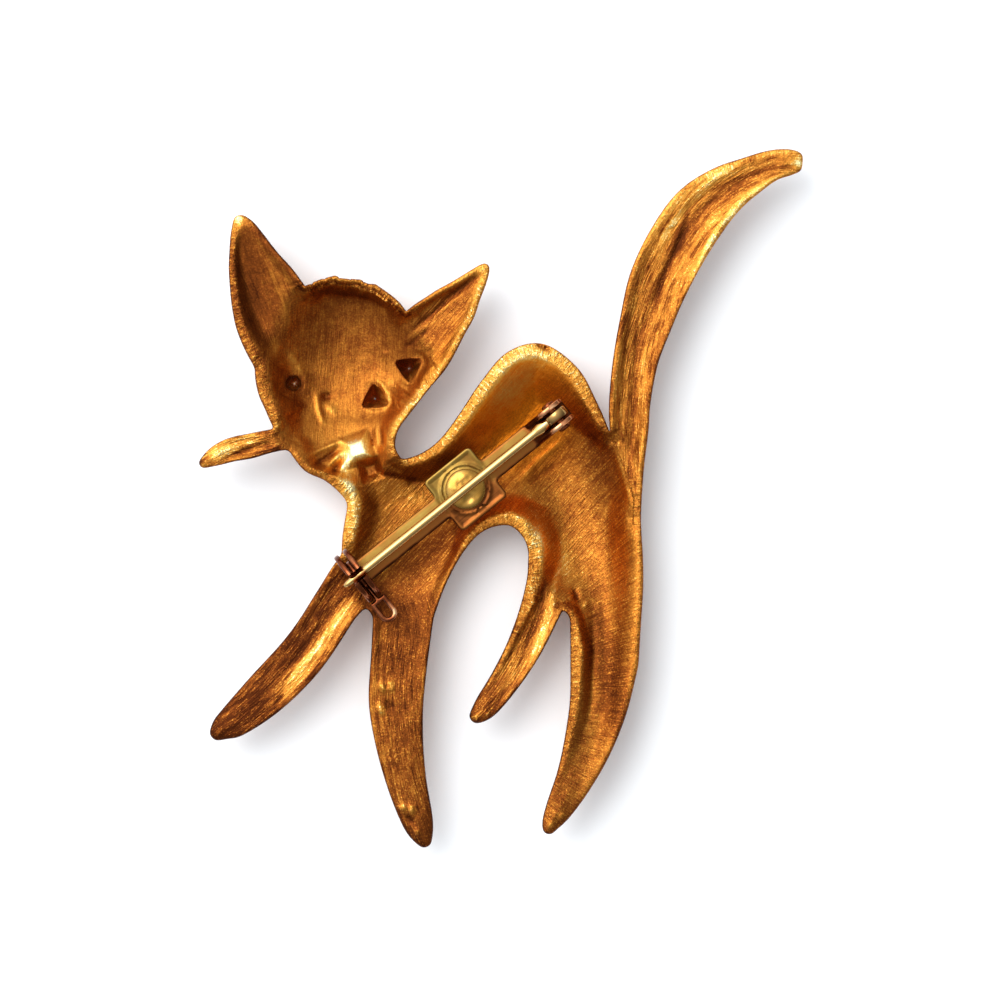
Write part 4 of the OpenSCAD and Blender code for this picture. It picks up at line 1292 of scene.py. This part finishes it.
lines_here = node_of(tree, "ShaderNodeMix", {0: rim_at, 2: face_mix, 3: rim_lines}).outputs[0]
cast = use_group(tree, grained, {"Place": place_in_mm(tree), "Pitch": 0.16})
streaks = use_group(tree, brushed, {"Place": grain_at, "Length": 3.2, "Pitch": 0.5})["Lines"]
dark_streaks = maths(tree, "MULTIPLY_ADD", streaks, 5.0, -2.4)
dark_streaks.node.use_clamp = True
bead_depth = maths(tree, "MULTIPLY_ADD", rim_at, 0.5, 0.3)
beads_here = maths(tree, "MULTIPLY", maths(tree, "SUBTRACT", cast["Beads"], 0.5), bead_depth)
height = swayed(tree, lines_here, 1.0, beads_here)
height = maths(tree, "MULTIPLY", height, maths(tree, "MULTIPLY_ADD", glint_at, 0.65, 0.35))
bump = node_of(tree, "ShaderNodeBump", {"Height": height, "Strength": 1.0, "Distance": grain_depth})
tree.links.new(bump.outputs["Normal"], shader.inputs["Normal"])
# The lightness starts from the painted light and patina, with a little painted highlight on the rims
light = maths(tree, "MULTIPLY_ADD", patina_and_painted_light_at, 0.36, 0.43)
light = maths(tree, "MULTIPLY_ADD", rim_at, 0.04, light)
light = maths(tree, "MULTIPLY_ADD", maths(tree, "MULTIPLY", dark_streaks, tarnish_at), -0.46, light)
# Where the brushed lines and the beads run high, bright dashes are painted into the colour: painted glints
glints = maths(tree, "MULTIPLY_ADD", maths(tree, "ADD", lines_here, cast["Beads"]), 6.0, -6.5)
glints.node.use_clamp = True
light = maths(tree, "MULTIPLY_ADD", maths(tree, "MULTIPLY", glints, glint_at), 0.3, light)
# Deep hollows are painted a little darker: painted shade
light = maths(tree, "MULTIPLY_ADD", hollow_at, -0.06, light)
brush_depth = maths(tree, "MULTIPLY_ADD", glint_at, 0.6, 0.25)
light = swayed(tree, lines_here, brush_depth, light)
light = swayed(tree, cast["Beads"], 0.4, light)
light = swayed(tree, cast["Clouds"], 0.3, light)
colour = colour_ramp(tree, light, [
    (0.0, (0.07, 0.016, 0.004)),
    (0.25, (0.22, 0.055, 0.009)),
    (0.5, (0.50, 0.175, 0.023)),
    (0.74, (0.74, 0.33, 0.05)),
    (0.9, (0.90, 0.54, 0.14)),
    (1.0, (0.97, 0.80, 0.38)),
])
warm_colour = colour_ramp(tree, light, [
    (0.0, (0.18, 0.035, 0.003)),
    (0.3, (0.52, 0.13, 0.006)),
    (0.55, (0.93, 0.27, 0.012)),
    (0.8, (0.98, 0.52, 0.08)),
    (1.0, (0.98, 0.78, 0.32)),
])
plated = node_of(tree, "ShaderNodeMix", {0: warmth_at, 6: colour, 7: warm_colour}, data_type="RGBA")
tree.links.new(plated.outputs[2], shader.inputs["Base Color"])
roughness = maths(tree, "MULTIPLY_ADD", light, -0.12, maths(tree, "MULTIPLY_ADD", glint_at, -0.16, 0.53))
tree.links.new(roughness, shader.inputs["Roughness"])
shader.inputs["Metallic"].default_value = 1.0
cat_mesh.materials.append(gold)


# The bar pin is a standard one-inch fitting, stamped from sheet brass and gilt.
# Its middle plate is held by the casting's stud, which is peened over it like a rivet.
# Its places follow from the two joints: the hinge's rivet and the axis of the catch.
def joint_place(name):
    joint = next(joint for joint in frame["joints"] if joint["name"] == name)
    return Vector(joint["pos_m"]) / MM


hinge_place = joint_place("pin_hinge")
catch_place = joint_place("catch_turn")
hinge_u = 10.6
catch_u = 12.6
axis_w = 1.7
bar_t = 0.6
bar_half = 1.15
plate_half = (2.7, 2.9)
ear_t = 0.45
ear_space = 1.4
ear_r = 1.3
ear_foot = 2.8
pin_hole_r = 0.4
stud_hole_r = 1.05
rail_t = 0.5
groove_w = 0.5
housing_r = 2.65
catch_half = rail_t + groove_w / 2
along_bar = (hinge_place - catch_place).normalized()
across_bar = Vector((0, 0, 1)).cross(along_bar)
stud_place = hinge_place - along_bar * hinge_u - Vector((0, 0, axis_w))
fitting = Matrix((along_bar, across_bar, (0, 0, 1))).transposed()


# A piece of the fitting: its points are in mm along the bar, across it and above its top
def fitted(name, points, faces, body, node, material, sharp=40, painted_light=None):
    mesh = bpy.data.meshes.new(name)
    places = [(stud_place + fitting @ Vector(p)) * MM for p in points]
    mesh.from_pydata(places, [], faces)
    mesh.validate()
    fixer = bmesh.new()
    fixer.from_mesh(mesh)
    bmesh.ops.recalc_face_normals(fixer, faces=fixer.faces)
    fixer.to_mesh(mesh)
    fixer.free()
    mesh.shade_smooth()
    mesh.set_sharp_from_angle(angle=math.radians(sharp))
    mesh.materials.append(material)
    if painted_light is not None:
        paint(mesh, "painted_light", painted_light)
    piece = bpy.data.objects.new(name, mesh)
    bpy.context.scene.collection.objects.link(piece)
    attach(piece, body)
    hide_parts(node)
    return mesh


def round_corners(corners, steps=6):
    points = []
    for k, (x, y, radius) in enumerate(corners):
        here = np.array([x, y])
        to_before = np.array(corners[k - 1][:2]) - here
        to_after = np.array(corners[(k + 1) % len(corners)][:2]) - here
        to_before = to_before / np.linalg.norm(to_before)
        to_after = to_after / np.linalg.norm(to_after)
        half = math.acos(np.clip(to_before @ to_after, -1, 1)) / 2
        bisector = (to_before + to_after) / np.linalg.norm(to_before + to_after)
        centre = here + bisector * radius / math.sin(half)
        first = here + to_before * radius / math.tan(half) - centre
        last = here + to_after * radius / math.tan(half) - centre
        begin = math.atan2(first[1], first[0])
        sweep = (math.atan2(last[1], last[0]) - begin + math.pi) % math.tau - math.pi
        for t in np.linspace(0, 1, steps + 1):
            turn = begin + sweep * t
            points.append(centre + radius * np.array([math.cos(turn), math.sin(turn)]))
    return np.array(points)


def arc(x, y, radius, begin, end, steps=24):
    turns = np.radians(np.linspace(begin, end, steps + 1))
    return np.column_stack([x + radius * np.cos(turns), y + radius * np.sin(turns)])


def ring(x, y, radius):
    return arc(x, y, radius, 0, 345, 23)


# A stamped sheet with rolled edges: its faces bulge by top_form and its edges are rounded by roll
def sheet(bounds, low, high, roll, rings, pitch, step, top_form=None):
    bounds = [even_loop(bound, step) for bound in bounds]
    points, tris = flat_net(bounds, rings, pitch)
    edges = tree_of(np.vstack([even_loop(bound, 0.02) for bound in bounds]))
    far, _ = to_edge(points, edges)
    drop = roll * (1 - np.sqrt(1 - (1 - np.clip(far / roll, 0, 1)) ** 2))
    top = high - drop
    if top_form:
        top = top + top_form(points, far)
    bottom = low + drop
    return closed_skin(
        bounds, np.column_stack([points, top]), tris, np.column_stack([points, bottom]), tris)


# A turned form: radius and place along the axis, round the axis
def turned(profile, steps=32):
    points = []
    faces = []
    for radius, place_along in profile:
        for k in range(steps):
            turn = math.tau * k / steps
            points.append((radius * math.cos(turn), radius * math.sin(turn), place_along))
    for row in range(len(profile) - 1):
        for k in range(steps):
            a = row * steps + k
            b = row * steps + (k + 1) % steps
            faces.append((a, b, b + steps, a + steps))
    faces.append(tuple(reversed(range(steps))))
    last = (len(profile) - 1) * steps
    faces.append(tuple(range(last, last + steps)))
    return np.array(points), faces


def joined(parts):
    points = []
    faces = []
    for part_points, part_faces in parts:
        faces += [tuple(i + len(points) for i in face) for face in part_faces]
        points += [tuple(p) for p in part_points]
    return np.array(points), faces


def plain_metal(name, stops, roughness, clouding, bump_size):
    material = bpy.data.materials.new(name)
    material.use_nodes = True
    tree = material.node_tree
    shader = tree.nodes["Principled BSDF"]
    in_mm = place_in_mm(tree)
    cast = use_group(tree, grained, {"Place": in_mm, "Pitch": 0.25})
    bar_turn = -math.atan2(along_bar.y, along_bar.x)
    turned_place = node_of(tree, "ShaderNodeVectorRotate", {
        "Vector": in_mm, "Angle": bar_turn}, rotation_type="Z_AXIS").outputs[0]
    lines_here = use_group(tree, brushed, {"Place": turned_place, "Length": 3.0, "Pitch": 0.1})["Lines"]
    light = swayed(tree, cast["Clouds"], clouding, 0.5)
    light = swayed(tree, lines_here, clouding * 0.5, light)
    light = maths(tree, "ADD", light, painted(tree, "painted_light"))
    tree.links.new(colour_ramp(tree, light, stops), shader.inputs["Base Color"])
    tree.links.new(swayed(tree, cast["Beads"], 0.2, roughness), shader.inputs["Roughness"])
    bead_height = maths(tree, "MULTIPLY", cast["Beads"], 0.4)
    height = maths(tree, "MULTIPLY_ADD", lines_here, 0.7, bead_height)
    bump = node_of(tree, "ShaderNodeBump", {"Height": height, "Strength": 0.6, "Distance": bump_size * MM})
    tree.links.new(bump.outputs["Normal"], shader.inputs["Normal"])
    shader.inputs["Metallic"].default_value = 1.0
    return material


brass = plain_metal("satin_brass", [
    (0.0, (0.06, 0.015, 0.005)),
    (0.12, (0.24, 0.072, 0.015)),
    (0.28, (0.21, 0.09, 0.018)),
    (0.42, (0.25, 0.146, 0.03)),
    (0.6, (0.37, 0.234, 0.064)),
    (1.0, (0.90, 0.74, 0.36)),
], 0.34, 0.35, 0.006)
copper = plain_metal("dark_copper", [
    (0.0, (0.035, 0.008, 0.003)),
    (0.5, (0.17, 0.042, 0.014)),
    (0.8, (0.55, 0.21, 0.085)),
    (1.0, (0.95, 0.62, 0.34)),
], 0.22, 0.5, 0.01)
polished = plain_metal("polished_gold", [
    (0.0, (0.12, 0.045, 0.02)),
    (0.45, (0.60, 0.35, 0.11)),
    (1.0, (0.95, 0.73, 0.38)),
], 0.16, 0.12, 0.0006)
peened = plain_metal("peened_gold", [
    (0.0, (0.20, 0.06, 0.01)),
    (0.5, (0.38, 0.19, 0.035)),
    (1.0, (0.80, 0.55, 0.19)),
], 0.24, 0.4, 0.012)


# The pin bar is one strip of gilt sheet brass with a square plate in its middle.
# The stamping die rolls its edges, sinks the plate's border and presses a bead round the stud's hole.
bar_end = catch_u + catch_half
hinge_end = hinge_u + ear_r
# Place along the bar, half width and radius of each corner on one side
bar_side = [
    (-bar_end, bar_half, 0.2),
    (-plate_half[0], bar_half, 0.3),
    (-plate_half[0], plate_half[1], 0.5),
    (plate_half[0], plate_half[1], 0.5),
    (plate_half[0], bar_half, 0.3),
    (hinge_end, bar_half, 0.25),
]
bar_corners = [(u, -v, r) for u, v, r in bar_side] + bar_side[::-1]


def bar_form(points, far):
    from_stud = np.linalg.norm(points, axis=1)
    on_plate = np.clip((plate_half[0] + 0.1 - np.abs(points[:, 0])) / 0.25, 0, 1)
    bead = 0.08 * np.exp(-((from_stud - 2.3) / 0.13) ** 2)
    groove = -0.07 * np.exp(-((from_stud - 2.05) / 0.12) ** 2)
    rolled = -0.07 * np.clip(1 - far / 1.15, 0, 1) ** 1.6 * (1 - on_plate)
    past_bead = np.clip((from_stud - 2.2) / 0.1, 0, 1)
    sunk = -0.09 * np.clip((far - 0.32) / 0.08, 0, 1) * on_plate * past_bead
    return bead + groove + rolled + sunk


bar_points, bar_faces = sheet(
    [round_corners(bar_corners), ring(0, 0, stud_hole_r)], -bar_t, 0, 0.14,
    [0.04, 0.09, 0.16, 0.3, 0.5], 0.14, 0.12, bar_form)
# The lower half, the stretch below the hinge and the strip's edges are painted darker as painted shade,
# and the plate's border is painted lighter as a painted highlight
bar_u = np.abs(bar_points[:, 0])
bar_v = bar_points[:, 1]
bar_painted_light = -0.12 - 0.2 * np.clip((0.3 - bar_v) / 0.5, 0, 1)
bar_painted_light -= 0.5 * np.clip((bar_points[:, 0] - 7.4) / 0.8, 0, 1)
bar_painted_light -= 0.12 * np.clip((-0.4 - bar_v) / 0.5, 0, 1) * (bar_u < plate_half[0])
bar_painted_light -= 0.15 * (np.abs(bar_v) > bar_half - 0.25) * (bar_u > plate_half[0])
from_border = np.minimum(plate_half[0] - bar_u, plate_half[1] - np.abs(bar_v))
bar_painted_light += 0.12 * np.clip(1 - np.abs(from_border - 0.2) / 0.15, 0, 1)
fitted("pin_bar_strip", bar_points, bar_faces, "brooch", "pin_bar", brass, painted_light=bar_painted_light)

# The stud is part of the casting, in the same plated white metal, and comes up through the plate's hole.
# Its end is peened over the plate: a flattened dome with a hammered dent in its lower side.
stud_r = 1.85
lip_h = 0.22
dome_h = 0.42
stud_rows = [(1.0, -0.9), (1.0, 0.02), (1.6, 0.05), (1.8, 0.12), (stud_r, lip_h)]
for k in range(1, 12):
    turn = math.radians(90 * k / 12)
    stud_rows.append((stud_r * math.cos(turn) ** 0.8, lip_h + dome_h * math.sin(turn) ** 0.9))
stud_points, stud_faces = turned(stud_rows, 48)
dent = np.exp(-(((stud_points[:, 0] + 0.25) / 0.75) ** 2 + ((stud_points[:, 1] + 0.85) / 0.5) ** 2))
hammered = np.array([noise.noise((x * 2.4, y * 2.4, 7)) for x, y, _ in stud_points])
on_dome = np.clip((stud_points[:, 2] - 0.2) / 0.2, 0, 1)
stud_points[:, 2] += on_dome * (0.05 * hammered - 0.22 * dent)
fitted("stud_head", stud_points, stud_faces, "brooch", "cat_casting", peened, 70)

# The two hinge ears are the bar's own sheet, bent up at its end and darkened like copper.
# Each is rounded off above the hole that the rivet goes through.
ear_outline = round_corners([
    (hinge_u - ear_foot, -0.5, 0.15),
    (hinge_u + ear_r, -0.5, 0.3),
    (hinge_u + ear_r, axis_w + ear_r, ear_r * 0.98),
    (hinge_u - ear_r * 0.8, axis_w + ear_r, ear_r * 0.8),
    (hinge_u - ear_foot, 0.35, 0.1),
], 12)
ears = []
for side in (-1, 1):
    points, faces = sheet(
        [ear_outline, ring(hinge_u, axis_w, pin_hole_r)], -ear_t / 2, ear_t / 2, 0.12,
        [0.04, 0.08, 0.14], 0.3, 0.1)
    middle_v = side * (ear_space + ear_t) / 2
    ears.append((np.column_stack([points[:, 0], points[:, 2] + middle_v, points[:, 1]]), faces))
ear_points, ear_faces = joined(ears)
# The ears' top edges and far ends are painted lighter: painted highlight
ear_painted_light = 0.5 * np.clip(ear_points[:, 2] - 2.3, 0, 1)
ear_painted_light += 0.2 * np.clip((ear_points[:, 0] - hinge_u - 0.8) / 0.4, 0, 1)
fitted("hinge_ears", ear_points, ear_faces, "brooch", "pin_bar", copper, painted_light=ear_painted_light)

# The rivet is a short copper-coloured pin through both ears and the stem's eye.
# It has a low round head at each end, hammered over on the outside of the ears.
rivet_r = 0.36
rivet_half = ear_space / 2 + ear_t + 0.04
rivet_head = [(0.2, 0.3), (0.45, 0.28), (0.62, 0.15), (0.65, 0)]
rivet_rows = [(r, -rivet_half - t) for r, t in rivet_head] + [(rivet_r, -rivet_half)]
rivet_rows += [(r, -t) for r, t in rivet_rows[::-1]]
rivet_points, rivet_faces = turned(rivet_rows, 32)
rivet_points = np.column_stack([
    rivet_points[:, 0] + hinge_u, rivet_points[:, 2], rivet_points[:, 1] + axis_w])
fitted("hinge_rivet_pin", rivet_points, rivet_faces, "brooch", "hinge_rivet", copper)

# The stem is a polished gilt wire that goes through the cloth and lies in the catch.
# Its thick end is flattened into an eye for the rivet, and its other end is ground to a point.
eye_r = 1.15
eye_t = 1.0
wire_r = 0.4
stem_l = 24.8
eye_points, eye_faces = sheet(
    [arc(0, 0, eye_r, 0, 352, 44), ring(0, 0, pin_hole_r)], -eye_t / 2, eye_t / 2, 0.25,
    [0.05, 0.12, 0.2, 0.3], 0.3, 0.12)
eye_points = np.column_stack([eye_points[:, 0] + hinge_u, eye_points[:, 2], eye_points[:, 1] + axis_w])
# Radius and place along the stem of its neck beside the eye and its wire, then of its ground point
stem_rows = [(0.5, 0.75), (0.57, 0.95), (0.57, 1.9), (0.5, 2.2), (wire_r, 2.6), (wire_r, 12.0)]
point_rows = [(wire_r, 3.2), (0.39, 2.2), (0.34, 1.1), (0.26, 0.4), (0.18, 0.1), (0.08, 0)]
stem_rows += [(radius, stem_l - from_tip) for radius, from_tip in point_rows]
wire_points, wire_faces = turned(stem_rows, 32)
wire_points = np.column_stack([
    hinge_u - wire_points[:, 2], wire_points[:, 0], wire_points[:, 1] + axis_w])
stem_points, stem_faces = joined([(eye_points, eye_faces), (wire_points, wire_faces)])
# The stem's eye is painted dark, as painted shade between the ears, with a painted highlight along its top
on_eye = np.clip((stem_points[:, 0] - hinge_u + 1.9) / 0.3, 0, 1)
eye_ridge = np.exp(-((stem_points[:, 1] - 0.05) / 0.24) ** 2)
fitted("stem_wire", stem_points, stem_faces, "stem", "pin_stem", polished,
       painted_light=on_eye * (0.8 * eye_ridge - 0.42))

# The safety catch's housing is two round rails of the bar's own sheet, darkened like copper.
# They are bent up at the bar's other end, with a slot on top that lets the stem in.
core_r = 1.2
slot_half = 0.5
core_clear = 0.06


def slotted(radius, bore):
    lip = math.degrees(math.asin(slot_half / radius))
    rim = arc(0, axis_w, radius, 90 + lip, 450 - lip, 64)
    if bore > slot_half:
        inner_lip = math.degrees(math.asin(slot_half / bore))
        return np.vstack([rim, arc(0, axis_w, bore, 90 - inner_lip, inner_lip - 270, 48)])
    return np.vstack([rim, arc(0, axis_w, slot_half, 0, -180, 16)])


rail_ring = slotted(housing_r, core_r + core_clear)
low_rim = -bar_t + 0.02
rail_ring[:, 1] = np.maximum(rail_ring[:, 1], low_rim)
rails = []
for side in (-1, 1):
    points, faces = sheet([rail_ring], -rail_t / 2, rail_t / 2, 0.16, [0.05, 0.1, 0.17], 0.25, 0.12)
    middle_u = side * (groove_w + rail_t) / 2 - catch_u
    rails.append((np.column_stack([points[:, 2] + middle_u, points[:, 0], points[:, 1]]), faces))
rail_points, rail_faces = joined(rails)
fitted("catch_rails", rail_points, rail_faces, "brooch", "pin_bar", copper)

# The core is a slotted drum that turns in the rails' bores and closes their slot over the stem.
# Its wider middle disc runs in the groove between the rails and carries the lever, a strip with a hole.
disc_r = 1.6
lever_end = 5.2
loop_half = 0.85
strip_w = 0.45
lever_h = 0.6
disc_half = groove_w / 2 - core_clear
rotor = []
for radius, half in ((core_r, catch_half), (disc_r, disc_half)):
    points, faces = sheet([slotted(radius, 0)], -half, half, 0.08, [0.03, 0.08], 0.25, 0.1)
    rotor.append((np.column_stack([points[:, 2] - catch_u, points[:, 0], points[:, 1]]), faces))
loop_near = housing_r + 2 * core_clear
loop_middle = lever_end - loop_half
hole_half = loop_half - strip_w
loop_outline = round_corners([
    (-loop_half, -loop_near, 0.2),
    (-disc_half, -loop_near, 0.06),
    (-disc_half, -core_r, 0.02),
    (disc_half, -core_r, 0.02),
    (disc_half, -loop_near, 0.06),
    (loop_half, -loop_near, 0.2),
    (loop_half, -lever_end, loop_half * 0.98),
    (-loop_half, -lever_end, loop_half * 0.98),
], 10)
loop_hole = np.vstack([
    [(-hole_half, -loop_near - strip_w), (hole_half, -loop_near - strip_w)],
    arc(0, -loop_middle, hole_half, 0, -180),
])
points, faces = sheet(
    [loop_outline, loop_hole], -lever_h / 2, lever_h / 2, 0.2, [0.05, 0.1, 0.17, 0.22], 0.2, 0.08)
rotor.append((np.column_stack([points[:, 0] - catch_u, points[:, 1], points[:, 2] + axis_w]), faces))
rotor_points, rotor_faces = joined(rotor)
# The far end of the lever's loop is painted lighter: painted highlight
loop_painted_light = 0.5 * np.clip((-rotor_points[:, 1] - 3.4) / 1.2, 0, 1)
loop_painted_light *= np.clip((rotor_points[:, 0] + catch_u) / 0.5, 0, 1)
fitted("catch_core_and_lever", rotor_points, rotor_faces, "rotor", "catch_rotor", copper,
       painted_light=loop_painted_light)
